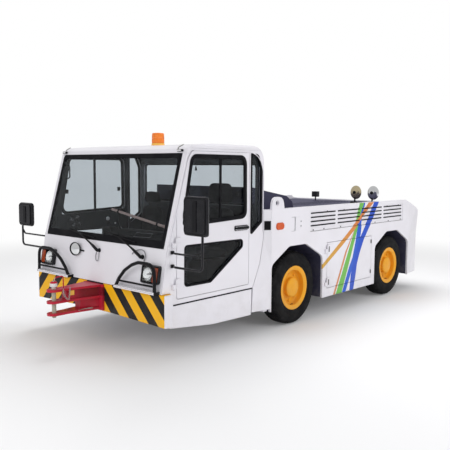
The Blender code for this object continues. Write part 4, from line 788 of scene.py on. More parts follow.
def tube(shape, path, radius, sides=10, closed=False):
    """A round bar along a path; the radius may be one number or one for each point."""
    path = [Vector(point) for point in path]
    count = len(path)
    radii = radius if isinstance(radius, (list, tuple)) else [radius] * count
    side = None
    rings = []
    for index, here in enumerate(path):
        before = path[index - 1] if closed or index else here
        after = path[(index + 1) % count] if closed or index < count - 1 else here
        ahead = (after - before).normalized()
        if side is None:
            side = ahead.orthogonal().normalized()
        side = (side - ahead * side.dot(ahead)).normalized()
        up = ahead.cross(side)
        ring = []
        for step in range(sides):
            angle = 2 * math.pi * step / sides
            offset = side * math.cos(angle) + up * math.sin(angle)
            ring.append(shape.verts.new(here + offset * radii[index]))
        rings.append(ring)
    skin_along(shape, rings, closed)
    if not closed:
        shape.faces.new(rings[0])
        shape.faces.new(rings[-1])


def made(name, shape, finish, body="chassis", stands_for=(), sharp=35, bevel=0.0):
    """Close a mesh, give it its finish, and let it ride on a body."""
    bmesh.ops.remove_doubles(shape, verts=shape.verts, dist=0.00001)
    bmesh.ops.recalc_face_normals(shape, faces=shape.faces)
    mesh = bpy.data.meshes.new(name)
    shape.to_mesh(mesh)
    shape.free()
    placed(name, mesh, finish, body, stands_for, sharp, bevel)


def placed(name, mesh, finish, body="chassis", stands_for=(), sharp=35, bevel=0.0):
    mesh.materials.clear()
    mesh.materials.append(finish)
    mesh.polygons.foreach_set("use_smooth", [True] * len(mesh.polygons))
    mesh.set_sharp_from_angle(angle=math.radians(sharp))
    piece = added(name, mesh)
    if bevel:
        soften = piece.modifiers.new("edges", "BEVEL")
        soften.width = bevel
        soften.segments = 2
        soften.limit_method = "ANGLE"
        soften.harden_normals = True
    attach(piece, body)
    if stands_for:
        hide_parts(*stands_for)


def span(side, inner, outer):
    return tuple(sorted((side * inner, side * outer)))


def side_block(shape, side, across, along, up):
    """A block on one side of the tractor; each pair gives its two ends on an axis."""
    low_x, high_x = span(side, *across)
    block(shape, (low_x, along[0], up[0]), (high_x, along[1], up[1]))


print("mesh helpers ready")

# %% [markdown]
# ## Finishes on the CAD nodes
# Most panels already have the right shape, so they keep their CAD mesh and only get a finish.
# The rounded look of their edges comes from the soft_edges group.

# %% Finishes on CAD nodes
FINISH_OF = {
    "front_bumper": bumper_finish,
    "front_panel": cab_white, "roof": cab_white, "cab_tub": cab_white,
    "front_chassis": body_white, "body_bulkhead": body_white, "rear_end": body_white,
    "deck_plate": slate_paint, "chassis_frame": slate_paint,
    "engine_block": cast_steel, "front_axle": cast_steel, "rear_axle": cast_steel,
    "front_hitch": jaw_red, "rear_coupling": jaw_red,
    "windscreen": tinted_glass, "rear_window": tinted_glass,
    "dashboard": dark_plastic, "steering_wheel": dark_plastic,
    "seat_base": satin_black, "passenger_base": satin_black,
    "beacon": amber_shell, "work_lamps": satin_black,
}
for side_name, _ in SIDES:
    for node, finish in (
            ("rear_side_", side_white), ("side_hatch_", side_white), ("cab_side_", cab_white),
            ("door_", cab_white), ("door_glass_", tinted_glass),
            ("door_low_glass_", tinted_glass), ("quarter_glass_", tinted_glass),
            ("wheelhouse_front_", slate_paint), ("wheelhouse_rear_", slate_paint),
            ("knuckle_", cast_steel), ("rim_front_", rim_paint), ("rim_rear_", rim_paint),
            ("tyre_front_", tyre_rubber), ("tyre_rear_", tyre_rubber),
            ("lamp_guard_", satin_black), ("headlamp_", clear_lens), ("mirror_", gloss_black)):
        FINISH_OF[node + side_name] = finish
for node, finish in FINISH_OF.items():
    held = NODES[node].data.materials
    held.clear()
    held.append(finish)
print(len(FINISH_OF), "CAD nodes finished")

# %% [markdown]
# ## The band round the windscreen
# The glass is bonded into its frame behind a wide black band, broader along the bottom. It is
# a thin frame that lies on the glass, built flat and then laid on the slope.

# %% Windscreen band
GLASS_HALF = 1.1037
BAND_SIDE, BAND_TOP, BAND_LOW = 0.048, 0.055, 0.082
GLASS_RISE = math.hypot(GLASS_TOP_Y - GLASS_LOW_Y, GLASS_TOP_Z - GLASS_LOW_Z)


def on_windscreen(x, rise, out):
    """A point on the glass, by its distance up the slope and out from the glass."""
    share = rise / GLASS_RISE
    lean_y = (GLASS_TOP_Y - GLASS_LOW_Y) / GLASS_RISE
    lean_z = (GLASS_TOP_Z - GLASS_LOW_Z) / GLASS_RISE
    y = GLASS_LOW_Y + (GLASS_TOP_Y - GLASS_LOW_Y) * share - out * lean_z
    z = GLASS_LOW_Z + (GLASS_TOP_Z - GLASS_LOW_Z) * share + out * lean_y
    return Vector((x, y, z))


shape = bmesh.new()
edge_of_glass = [(-GLASS_HALF, 0, 0.03), (GLASS_HALF, 0, 0.03),
                 (GLASS_HALF, GLASS_RISE, 0.05), (-GLASS_HALF, GLASS_RISE, 0.05)]
sight = [(BAND_SIDE - GLASS_HALF, BAND_LOW, 0.02), (GLASS_HALF - BAND_SIDE, BAND_LOW, 0.02),
         (GLASS_HALF - BAND_SIDE, GLASS_RISE - BAND_TOP, 0.05),
         (BAND_SIDE - GLASS_HALF, GLASS_RISE - BAND_TOP, 0.05)]
for corner in ring_plate(shape, arcs(edge_of_glass), arcs(sight), "z", HAIR, 0.004):
    corner.co = on_windscreen(*corner.co)
made("windscreen_band", shape, seal_rubber, bevel=0.0015)
print("glass rises", round(GLASS_RISE, 3), "m")

# %% [markdown]
# ## Rubber round the side windows
# Each pane sits in a fat black rubber with round corners. The rubber is a frame between the
# pane's outline moved out and the same outline moved in, with its edges rounded.

# %% Window rubbers and bars
DOOR_FRONT_Y, DOOR_REAR_Y, CAB_REAR_Y = -2.590, -1.390, -1.110
CAB_FACE_X = 1.154
UPPER_WINDOW = (
    (DOOR_FRONT_Y + 0.080, 1.450, 0.10), (DOOR_FRONT_Y + 0.225, 2.210, 0.09),
    (DOOR_REAR_Y - 0.065, 2.210, 0.09), (DOOR_REAR_Y - 0.055, 1.490, 0.08))
LOWER_WINDOW = (
    (DOOR_FRONT_Y + 0.115, 0.787, 0.04), (DOOR_FRONT_Y + 0.115, 1.234, 0.04),
    (DOOR_REAR_Y - 0.115, 1.228, 0.04), (DOOR_REAR_Y - 0.115, 1.139, 0.04),
    (DOOR_FRONT_Y + 0.530, 0.783, 0.06))
QUARTER_WINDOW = (
    (DOOR_REAR_Y + 0.030, 1.262, 0.02), (DOOR_REAR_Y + 0.030, 2.255, 0.02),
    (CAB_REAR_Y - 0.105, 2.235, 0.06), (CAB_REAR_Y - 0.030, 2.080, 0.08),
    (CAB_REAR_Y - 0.030, 1.410, 0.02))
REAR_WINDOW = ((-1.050, 1.600, 0.06), (-1.050, 2.130, 0.06),
               (1.050, 2.130, 0.06), (1.050, 1.600, 0.06))
PANE_FACE_X = 1.1355
# window: outline, body, rubber outside the pane and over it, how proud it stands
RUBBERS = (
    ("upper", UPPER_WINDOW, "door_", 0.014, 0.030, 0.006),
    ("lower", LOWER_WINDOW, "door_", 0.006, 0.016, 0.004),
    ("quarter", QUARTER_WINDOW, None, 0.004, 0.026, 0.004),
)
for side_name, side in SIDES:
    for label, window, rides, outside_pane, over_pane, proud in RUBBERS:
        shape = bmesh.new()
        low_x, high_x = span(side, PANE_FACE_X - 0.0001, CAB_FACE_X + proud)
        # the lip on the outside is wide, the foot in the opening is only over the pane
        ring_plate(shape, arcs(grown(window, -0.0005)), arcs(grown(window, -over_pane)),
                   "x", low_x, high_x)
        low_x, high_x = span(side, CAB_FACE_X + HAIR, CAB_FACE_X + proud)
        ring_plate(shape, arcs(grown(window, outside_pane)), arcs(grown(window, -0.0005)),
                   "x", low_x, high_x)
        made(f"{label}_rubber_{side_name}", shape, seal_rubber,
             rides + side_name if rides else "chassis", bevel=0.002)
print(len(RUBBERS) * 2, "rubbers")

# %% Sliding pane bars and the rear rubber
SLIDE_Y = {"left": -1.883, "right": -1.957}
RAIL_TOP_Z, RAIL_DROP = 2.190, 0.018
for side_name, side in SIDES:
    shape = bmesh.new()
    middle_y = SLIDE_Y[side_name]
    side_block(shape, side, (PANE_FACE_X - 0.010, PANE_FACE_X + 0.006),
               (middle_y - 0.016, middle_y + 0.016), (1.465, RAIL_TOP_Z))
    side_block(shape, side, (PANE_FACE_X - 0.020, PANE_FACE_X - 0.008),
               (DOOR_FRONT_Y + 0.235, DOOR_REAR_Y - 0.075), (RAIL_TOP_Z - RAIL_DROP, RAIL_TOP_Z))
    made("sliding_bar_" + side_name, shape, seal_rubber, "door_" + side_name, bevel=0.002)
shape = bmesh.new()
ring_plate(shape, arcs(grown(REAR_WINDOW, 0.016)), arcs(grown(REAR_WINDOW, -0.022)), "y",
           CAB_REAR_Y + HAIR, CAB_REAR_Y + 0.010)
made("rear_window_rubber", shape, seal_rubber, bevel=0.002)
print("sliding bars ready")

# %% [markdown]
# ## Small rules for what repeats
# Screws, wheel nuts, painted vent shade strips, grip bars and chain links are all one shape set
# down many times. Each kind is a small geometry tree: it takes points, sets a copy on each, makes
# them real, and its result is baked into one plain mesh.

# %% Geometry trees
GEOMETRY = "NodeSocketGeometry"
WHOLE = "NodeSocketInt"


def new_rule(name, inputs):
    """An empty geometry tree: its tree, what it takes in, and where its result goes."""
    tree = bpy.data.node_groups.new(name, "GeometryNodeTree")
    tree.interface.new_socket("Geometry", in_out="INPUT", socket_type=GEOMETRY)
    for label, kind in inputs:
        tree.interface.new_socket(label, in_out="INPUT", socket_type=kind)
    tree.interface.new_socket("Geometry", in_out="OUTPUT", socket_type=GEOMETRY)
    return tree, tree.nodes.new("NodeGroupInput").outputs, tree.nodes.new("NodeGroupOutput")


def close_rule(tree, instances, result, finish):
    real = put(tree, "GeometryNodeRealizeInstances", {"Geometry": instances}).outputs[0]
    dressed = put(tree, "GeometryNodeSetMaterial", {"Geometry": real, "Material": finish})
    feed(tree, result.inputs[0], dressed.outputs[0])


def baked(tree, points, **values):
    """Run a tree on a few points and keep its result as a plain mesh."""
    source = bpy.data.meshes.new("carrier")
    source.from_pydata(points, [], [])
    carrier = added("carrier", source)
    change = carrier.modifiers.new("rule", "NODES")
    change.node_group = tree
    for item in tree.interface.items_tree:
        if item.in_out == "INPUT" and item.name in values:
            change[item.identifier] = values[item.name]
    graph = bpy.context.evaluated_depsgraph_get()
    mesh = bpy.data.meshes.new_from_object(carrier.evaluated_get(graph))
    bpy.data.objects.remove(carrier)
    return mesh


studs, taken, result = new_rule("studs", (
    ("Sides", WHOLE), ("Radius", FLOAT), ("Height", FLOAT), ("Turn", VECTOR),
    ("Material", "NodeSocketMaterial")))
head = put(studs, "GeometryNodeMeshCylinder", {
    "Vertices": taken["Sides"], "Radius": taken["Radius"], "Depth": taken["Height"]})
set_down = put(studs, "GeometryNodeInstanceOnPoints", {
    "Points": taken["Geometry"], "Instance": head.outputs["Mesh"], "Rotation": taken["Turn"]})
close_rule(studs, set_down.outputs[0], result, taken["Material"])

slats, taken, result = new_rule("slats", (
    ("Length", FLOAT), ("Height", FLOAT), ("Thickness", FLOAT), ("Turn", VECTOR),
    ("Material", "NodeSocketMaterial")))
edge_line = put(slats, "GeometryNodeCurvePrimitiveQuadrilateral", {
    "Width": taken["Length"], "Height": taken["Height"]})
round_line = put(slats, "GeometryNodeFilletCurve", {
    "Curve": edge_line.outputs[0], "Count": 3,
    "Radius": maths(slats, "MULTIPLY", taken["Height"], 0.49)}, mode="POLY")
filled = put(slats, "GeometryNodeFillCurve", {"Curve": round_line.outputs[0]}, mode="NGONS")
raised = put(slats, "GeometryNodeExtrudeMesh", {
    "Mesh": filled.outputs[0], "Offset Scale": taken["Thickness"]})
underside = put(slats, "GeometryNodeFlipFaces", {"Mesh": filled.outputs[0]})
whole = put(slats, "GeometryNodeJoinGeometry")
for part in (raised, underside):
    slats.links.new(part.outputs[0], whole.inputs[0])
merged = put(slats, "GeometryNodeMergeByDistance", {"Geometry": whole.outputs[0],
                                                    "Distance": 0.00005})
set_down = put(slats, "GeometryNodeInstanceOnPoints", {
    "Points": taken["Geometry"], "Instance": merged.outputs[0], "Rotation": taken["Turn"]})
close_rule(slats, set_down.outputs[0], result, taken["Material"])
print("rules: studs and slats")

# %% [markdown]
# ## Vents and screws of the body sides
# Air goes in between the pressed hoods; a thin dark strip with round ends lies on the panel above
# every hood as painted shade of that opening. Two rows of screws hold the panel.

# %% Vent shade strips (painted shade) and screws
BODY_FACE_X = 1.214
VENT_FACE_X = 1.206
VENT_START_Y, VENT_END_Y = -0.16, 2.59
VENT_FOOT_Z, VENT_STEP_Z = 1.2645, 0.057
VENT_COUNT = 4
SHADE_STRIP_HEIGHT = 0.019
HOOD_HEIGHT = 0.032
# height of a row: the place of each screw along the body
SCREW_ROWS = {1.2410: (-0.08, 0.186, 0.626, 1.12, 1.65, 2.091, 2.52),
              1.4880: (0.266, 0.711, 1.40, 2.035, 2.439)}
QUARTER = math.pi / 2
pitch = (VENT_END_Y - VENT_START_Y) / VENT_COUNT
for side_name, side in SIDES:
    facing_out = (QUARTER, 0.0, side * QUARTER)
    # painted shade: a flat dark strip above each hood stands for the shadow in the louvre opening
    spots = [(side * (VENT_FACE_X + CLEAR), VENT_START_Y + pitch * (column + 0.5) - 0.012,
              VENT_FOOT_Z + VENT_STEP_Z * row + HOOD_HEIGHT + 0.0035)
             for column in range(VENT_COUNT) for row in range(VENT_COUNT)]
    mesh = baked(slats, spots, Length=pitch - 0.060, Height=SHADE_STRIP_HEIGHT, Thickness=0.0015,
                 Turn=facing_out, Material=seal_rubber)
    placed("vent_shade_strips_" + side_name, mesh, seal_rubber)
    spots = [(side * (VENT_FACE_X + 0.0025), y, z) for z, row in SCREW_ROWS.items() for y in row]
    mesh = baked(studs, spots, Sides=8, Radius=0.010, Height=0.004, Turn=facing_out,
                 Material=dark_steel)
    placed("vent_screws_" + side_name, mesh, dark_steel)
print(VENT_COUNT ** 2, "slots and", len(spots), "screws a side")

# %% [markdown]
# ## Fittings of the sides
# A few small parts tell the eye how big the machine is: the marker lamp ahead of the wheel,
# the square air inlet on the angled facet, hinge covers and latches on the lid, the pull
# handle of the door, and the moulding that sheds rain above it. On the left there is a
# filler flap too.

# %% Side fittings
FACET_FRONT = Vector((1.156, -1.104))
FACET_REAR = Vector((1.214, -1.0205))
INLET_Z = (1.308, 1.420)
MARKER = (-0.925, -0.760, 1.297, 1.389)
HATCH_FRONT_Y, HATCH_REAR_Y = 0.270, 1.540
HINGE_Z = (0.480, 0.950)
HANDLE = (-1.646, -1.420, 1.350, 1.384)
MOULDING = ((-2.700, 1.240), (-2.424, 2.170), (-2.350, 2.262), (-1.320, 2.262),
            (-1.180, 2.180), (-1.122, 2.020), (-1.122, 1.300))


def facet_place(side, share, out):
    """A point on the angled facet beside the cab, out from its face."""
    along = FACET_REAR - FACET_FRONT
    away = Vector((along.y, -along.x)).normalized()
    spot = FACET_FRONT + along * share + away * out
    return side * spot.x, spot.y


def rounded_box(low_a, high_a, low_b, high_b, radius, inset=0.0):
    """A box with round corners, moved in on all four sides by the inset."""
    low_a, high_a, low_b, high_b = low_a + inset, high_a - inset, low_b + inset, high_b - inset
    return arcs([(low_a, low_b, radius), (high_a, low_b, radius), (high_a, high_b, radius),
                 (low_a, high_b, radius)])


for side_name, side in SIDES:
    shape = bmesh.new()
    foot = [facet_place(side, share, out) for share, out in (
        (0.08, CLEAR), (0.92, CLEAR), (0.92, 0.006), (0.08, 0.006))]
    plate(shape, foot, "z", *INLET_Z)
    made("air_inlet_" + side_name, shape, seal_rubber, bevel=0.001)
    shape = bmesh.new()
    for inset, out, radius in ((0.0, 0.006, 0.040), (0.007, 0.016, 0.034)):
        plate(shape, rounded_box(*MARKER, radius, inset), "x", side * (BODY_FACE_X + HAIR),
              side * (BODY_FACE_X + out))
    made("marker_lamp_" + side_name, shape, marker_orange, bevel=0.0025)
    shape = bmesh.new()
    for z in HINGE_Z:
        side_block(shape, side, (BODY_FACE_X + HAIR, BODY_FACE_X + 0.0248),
                   (HATCH_FRONT_Y + 0.008, HATCH_FRONT_Y + 0.030), (z - 0.044, z + 0.036))
        side_block(shape, side, (BODY_FACE_X + HAIR, BODY_FACE_X + 0.012),
                   (HATCH_REAR_Y - 0.026, HATCH_REAR_Y - 0.010), (z - 0.030, z + 0.030))
    made("hatch_irons_" + side_name, shape, dark_steel, "hatch_" + side_name, bevel=0.003)
    shape = bmesh.new()
    low_y, high_y, low_z, high_z = HANDLE
    outline = rounded_box(low_y - 0.012, high_y + 0.012, low_z - 0.016, high_z + 0.012, 0.02)
    plate(shape, outline, "x", side * (CAB_FACE_X + CLEAR), side * (CAB_FACE_X + 0.005))
    plate(shape, rounded_box(*HANDLE, 0.018), "x", side * (CAB_FACE_X + 0.004),
          side * (CAB_FACE_X + 0.034))
    made("door_pull_" + side_name, shape, dark_plastic, "door_" + side_name, bevel=0.004)
    shape = bmesh.new()
    path = [(side * (CAB_FACE_X + 0.006), y, z) for y, z in MOULDING]
    tube(shape, bent(path, 0.12, 8), 0.0055, 8)
    made("rain_moulding_" + side_name, shape, body_white)
# the filler flap is on the driver's side only: a lid, its seam and two small hinges
FLAP = (-0.512, -0.395, 1.262, 1.440)
shape = bmesh.new()
plate(shape, rounded_box(*FLAP, 0.030), "x", BODY_FACE_X + HAIR, BODY_FACE_X + 0.006)
made("filler_flap", shape, body_white, bevel=0.002)
shape = bmesh.new()
low_y, high_y, low_z, high_z = FLAP
block(shape, (BODY_FACE_X + HAIR, low_y - 0.009, low_z - 0.004),
      (BODY_FACE_X + 0.004, low_y - 0.002, high_z + 0.004))
for z in (low_z - 0.004, high_z):
    block(shape, (BODY_FACE_X + HAIR, low_y - 0.080, z),
          (BODY_FACE_X + 0.003, low_y - 0.010, z + 0.004))
for z in (1.318, 1.378):
    block(shape, (BODY_FACE_X + HAIR, high_y + 0.002, z - 0.010),
          (BODY_FACE_X + 0.009, high_y + 0.014, z + 0.010))
made("filler_flap_seam", shape, grey_rubber, bevel=0.0008)
print("side fittings ready")

# %% [markdown]
# ## Headlamps
# Each lamp unit is a black frame with two windows. A bright bowl with a bulb sits behind the
# inner one and a ribbed amber block behind the outer one, and clear lenses close them. The
# frame follows the slope of the nose.

# %% Headlamps
NOSE_LOW_Y, NOSE_TOP_Y = -2.810, -2.732
NOSE_LOW_Z = 0.745
NOSE_LEAN = (NOSE_TOP_Y - NOSE_LOW_Y) / (GLASS_LOW_Z - NOSE_LOW_Z)
LAMP_DEPTH = 0.045
UNIT = (0.840, 1.110, 0.8445, 1.0395)
LENS = (0.868, 1.012, 0.866, 1.020)
AMBER = (1.024, 1.098, 0.866, 1.020)


def nose_y(z, out=0.0):
    """The y of the nose panel's face at a height, or of a point out from it."""
    return NOSE_LOW_Y + NOSE_LEAN * (z - NOSE_LOW_Z) - out


def mirrored(points, side):
    for point in points:
        point.co.x *= side


def lamp_piece(part, side_name, shape, points, finish, bevel=0.0):
    """Lean what was built upright at y = 0 on to the nose, and put it on its side."""
    for point in points:
        point.co.y += nose_y(point.co.z)
    mirrored(points, dict(SIDES)[side_name])
    made(f"headlamp_{part}_{side_name}", shape, finish, stands_for=("headlamp_" + side_name,),
         bevel=bevel)


LAMP_X, LAMP_Z = (LENS[0] + LENS[1]) / 2, (LENS[2] + LENS[3]) / 2
LAMP_FOOT = upright("y", (LAMP_X, -0.037, LAMP_Z))
BOWL = ((0.014, 0.030), (0.040, 0.022), (0.060, 0.008), (0.067, -0.004), (0.069, -0.004),
        (0.062, 0.011), (0.041, 0.025), (0.014, 0.032))
BULB = ((0, -0.004), (0.008, -0.002), (0.010, 0.008), (0.010, 0.028), (0, 0.028))
RIBS = 7
RIB_STEP = (AMBER[3] - AMBER[2] - 0.03) / RIBS
for side_name, _ in SIDES:
    shape = bmesh.new()
    rim_line = rounded_box(*UNIT, 0.022)
    points = ring_plate(shape, rim_line, rounded_box(UNIT[0] + 0.02, UNIT[1] - 0.006,
                                                     UNIT[2] + 0.016, UNIT[3] - 0.014, 0.016),
                        "y", -LAMP_DEPTH, -0.0005)
    points += plate(shape, rim_line, "y", -0.006, -0.0005)
    points += block(shape, (LENS[1], -LAMP_DEPTH + 0.002, LENS[2]),
                    (AMBER[0], -0.004, LENS[3]))
    lamp_piece("case", side_name, shape, points, gloss_black, 0.003)
    shape = bmesh.new()
    lamp_piece("bowl", side_name, shape, turned(shape, BOWL, LAMP_FOOT, 40, closed=True),
               bright_metal)
    shape = bmesh.new()
    lamp_piece("bulb", side_name, shape, turned(shape, BULB, LAMP_FOOT, 20), white_plastic)
    shape = bmesh.new()
    points = plate(shape, rounded_box(*LENS, 0.020), "y", -LAMP_DEPTH - 0.0005,
                   -LAMP_DEPTH + 0.003)
    lamp_piece("lens", side_name, shape, points, clear_lens, 0.001)
    shape = bmesh.new()
    points = plate(shape, rounded_box(*AMBER, 0.014), "y", -LAMP_DEPTH - 0.001, -0.010)
    for index in range(RIBS):
        z = AMBER[2] + 0.015 + RIB_STEP * (index + 0.5)
        points += block(shape, (AMBER[0] + 0.01, -LAMP_DEPTH - 0.003, z - RIB_STEP * 0.3),
                        (AMBER[1] - 0.01, -LAMP_DEPTH, z + RIB_STEP * 0.3))
    lamp_piece("amber", side_name, shape, points, brown_amber, 0.0008)
print("headlamps ready")

# %% Ledge strips below the lamps
LEDGE_X = (0.440, 1.110)
LEDGE_FACE_Y = -2.881
for side_name, side in SIDES:
    shape = bmesh.new()
    for heights in ((0.7460, 0.7590), (0.7612, 0.7735)):
        side_block(shape, side, LEDGE_X, (LEDGE_FACE_Y - 0.003, LEDGE_FACE_Y - CLEAR), heights)
    side_block(shape, side, LEDGE_X, (LEDGE_FACE_Y + 0.004, -2.815), (0.7743, 0.7765))
    made("ledge_strips_" + side_name, shape, ledge_white, bevel=0.0008)
print("ledge strips ready")

# %% [markdown]
# ## Wipers
# Two pantograph arms rise from spindles on the nose. Each has a capped spindle, a tapered arm,
# a bridge, and a rubber blade that lies on the glass. All of it is laid on the slope of the
# panel and of the glass.

# %% Wipers
# spindle x and z, then the two ends of its blade
WIPERS = (((0.020, 1.107), (-0.640, 1.310), (-0.080, 1.245)),
          ((0.790, 1.105), (0.100, 1.325), (0.660, 1.255)))


def face_point(x, z, out):
    """A point out from the nose panel or, higher up, from the windscreen."""
    if z < GLASS_LOW_Z:
        return Vector((x, nose_y(z, out), z))
    return Vector((x, GLASS_LOW_Y + GLASS_SLOPE * (z - GLASS_LOW_Z) - out, z))


for number, (spindle, first_end, second_end) in enumerate(WIPERS):
    shape = bmesh.new()
    x, z = spindle
    place = upright("y", face_point(x, z, 0.0))
    turned(shape, ((0, -0.040), (0.013, -0.038), (0.017, -0.030), (0.017, -0.012),
                   (0.024, -0.010), (0.026, -0.0005), (0, -0.0005)), place, 20)
    middle_x = (first_end[0] + second_end[0]) / 2
    middle_z = (first_end[1] + second_end[1]) / 2
    reach = (face_point(x, z, 0.032), face_point(x + (middle_x - x) * 0.35,
                                                 z + (middle_z - z) * 0.45, 0.046),
             face_point(middle_x, middle_z, 0.040))
    tube(shape, bent(reach, 0.1, 5), [0.018, 0.017, 0.015, 0.013, 0.011, 0.010, 0.009, 0.008], 8)
    second = [point + Vector((0.022, 0, -0.012)) for point in reach]
    tube(shape, bent(second, 0.1, 5), 0.0045, 6)
    low = face_point(*first_end, 0.028)
    high = face_point(*second_end, 0.028)
    tube(shape, (low.lerp(high, 0.22), low.lerp(high, 0.5) + Vector((0, -0.014, 0)),
                 low.lerp(high, 0.78)), 0.0055, 6)
    tube(shape, (low, high), 0.0048, 6)
    made(f"wiper_{number}", shape, satin_black)
    shape = bmesh.new()
    low = face_point(*first_end, 0.016)
    high = face_point(*second_end, 0.016)
    tube(shape, (low, high), 0.0085, 4)
    made(f"wiper_blade_{number}", shape, seal_rubber)
print(len(WIPERS), "wipers")

# %% [markdown]
# ## Mirrors and their brackets
# Each head has a raised frame and ridge on its back and a true mirror on its face. Clamps hold
# the tube on the pillar. A small round wide-angle mirror stands on the nose.

# %% Mirrors
# inner and outer x, low and high z, then the heights of the two arms
MIRROR_HEADS = {
    "left": ((1.4530, 1.7730, 1.395, 1.793), (1.035, 1.180)),
    "right": ((1.4000, 1.7000, 1.290, 1.600), (1.020, 1.176)),
}
MIRROR_BACK_Y, MIRROR_FACE_Y = -2.790, -2.730
for side_name, side in SIDES:
    head, arms = MIRROR_HEADS[side_name]
    shape = bmesh.new()
    points = ring_plate(shape, rounded_box(*head, 0.04, 0.012), rounded_box(*head, 0.03, 0.026),
                        "y", MIRROR_BACK_Y - 0.0045, MIRROR_BACK_Y - CLEAR)
    middle = (head[0] + head[1]) / 2
    points += block(shape, (middle - 0.028, MIRROR_BACK_Y - 0.007, head[2] + 0.045),
                    (middle + 0.028, MIRROR_BACK_Y - CLEAR, head[3] - 0.045))
    mirrored(points, side)
    for z in arms:
        side_block(shape, side, (CAB_FACE_X + 0.0005, CAB_FACE_X + 0.0245), (-2.682, -2.646),
                   (z - 0.018, z + 0.018))
    made(f"mirror_{side_name}_frame", shape, satin_black, bevel=0.002)
    shape = bmesh.new()
    points = plate(shape, rounded_box(*head, 0.03, 0.018), "y", MIRROR_FACE_Y + CLEAR,
                   MIRROR_FACE_Y + 0.003)
    mirrored(points, side)
    made(f"mirror_{side_name}_glass", shape, bright_metal, bevel=0.001)

NOSE_MIRROR = (-0.404, 1.090)
TURN_TO_DRIVER = 14
shape = bmesh.new()
x, z = NOSE_MIRROR
centre = face_point(x, z, 0.040)
looking = facing(centre, TURN_TO_DRIVER)
turned(shape, ((0.078, 0.004), (0.082, -0.002), (0.082, -0.010), (0.077, -0.014),
               (0.074, -0.008), (0.074, 0.004)), looking, 40, closed=True)
turned(shape, ((0, 0.018), (0.030, 0.016), (0.080, 0.002), (0, 0.002)), looking, 32)
tube(shape, bent((centre + Vector((0, 0.016, 0)), face_point(x + 0.08, z - 0.01, 0.022),
                  face_point(x + 0.13, z - 0.02, -0.002)), 0.03), 0.009, 8)
made("nose_mirror_case", shape, dark_plastic)
shape = bmesh.new()
turned(shape, ((0, -0.020), (0.028, -0.018), (0.054, -0.012), (0.0735, -0.004), (0.0735, 0.001),
               (0, 0.001)), looking, 40)
made("nose_mirror_glass", shape, bright_metal)
print("mirrors ready")

# %% [markdown]
# ## Beacon and deck lamps
# The beacon is a ribbed amber dome on a yellow foot. The two work lamps behind the coaming are
# pressed bowls, one brass coloured and one bright, with a clear lens that looks to the rear.

# %% Beacon
BEACON_PLACE = (0, -1.810, 2.3453)
shape = bmesh.new()
turned(shape, ((0, 0.0), (0.084, 0.0), (0.085, 0.012), (0.082, 0.022), (0.081, 0.034),
               (0, 0.034)), upright("z", BEACON_PLACE), 48)
made("beacon_foot", shape, yellow_shell, stands_for=("beacon",), bevel=0.001)
shape = bmesh.new()
FLUTES, FLUTE_DEPTH = 36, 0.965     # a furrow's radius as a share of a ridge's
rings = []
for radius, height in ((0.074, 0.0345), (0.079, 0.038), (0.079, 0.085), (0.076, 0.088),
                       (0.079, 0.091), (0.077, 0.130), (0.075, 0.152), (0.068, 0.161),
                       (0.030, 0.1645)):
    ring = []
    for step in range(FLUTES * 2):
        swell = 1.0 if step % 2 else FLUTE_DEPTH
        angle = math.pi * step / FLUTES
        ring.append(shape.verts.new((
            BEACON_PLACE[0] + radius * swell * math.cos(angle),
            BEACON_PLACE[1] + radius * swell * math.sin(angle), BEACON_PLACE[2] + height)))
    rings.append(ring)
skin_along(shape, rings)
for ring in (rings[0], rings[-1]):
    shape.faces.new(ring)
made("beacon_dome", shape, amber_shell, stands_for=("beacon",), sharp=50)
print("beacon ready")

# %% Deck lamps
LAMP_BAR_Y, DECK_Z = 2.050, 1.490
LAMP_SPOTS = ((0.610, brass), (0.930, bright_metal))
LAMP_MIDDLE_Z = DECK_Z + 0.1903
LAMP_TURN = -12
shape = bmesh.new()
for rear, top in ((0.030, 0.010), (-0.022, 0.040)):
    block(shape, (0.540, LAMP_BAR_Y - 0.030, DECK_Z + CLEAR),
          (1.040, LAMP_BAR_Y + rear, DECK_Z + top))
for x, _ in LAMP_SPOTS:
    tube(shape, ((x, LAMP_BAR_Y, DECK_Z + 0.005), (x, LAMP_BAR_Y, DECK_Z + 0.110)), 0.014, 12)
    turned(shape, ((0, -0.034), (0.024, -0.032), (0.028, -0.0155), (0, -0.0155)),
           facing((x, LAMP_BAR_Y, LAMP_MIDDLE_Z), LAMP_TURN), 20)
made("deck_lamp_bar", shape, satin_black, stands_for=("work_lamps",), bevel=0.002)
for number, (x, finish) in enumerate(LAMP_SPOTS):
    place = facing((x, LAMP_BAR_Y, LAMP_MIDDLE_Z), LAMP_TURN)
    shape = bmesh.new()
    turned(shape, ((0, -0.016), (0.034, -0.015), (0.072, -0.010), (0.098, -0.001),
                   (0.108, 0.008), (0.113, 0.016), (0.113, 0.030), (0.100, 0.034),
                   (0.099, 0.028), (0.092, 0.010), (0.068, 0.000), (0.034, -0.005),
                   (0, -0.006)), place, 40)
    made(f"deck_lamp_shell_{number}", shape, finish, stands_for=("work_lamps",))
    shape = bmesh.new()
    turned(shape, ((0, 0.033), (0.056, 0.031), (0.0975, 0.026), (0.0975, 0.021), (0, 0.026)),
           place, 40)
    made(f"deck_lamp_lens_{number}", shape, clear_lens, stands_for=("work_lamps",))
print("deck lamps ready")

# %% [markdown]
# ## Wheels
# A truck wheel is two turned shapes. The rim is one profile with its dished disc and a lock
# ring; the wheel nuts are set down on a circle. The tyre's section is carried round the axle in
# short steps, and where a step falls in a gap of the tread the outer points sink, so that the
# grooves zigzag round the crown and the shoulders break up into blocks.

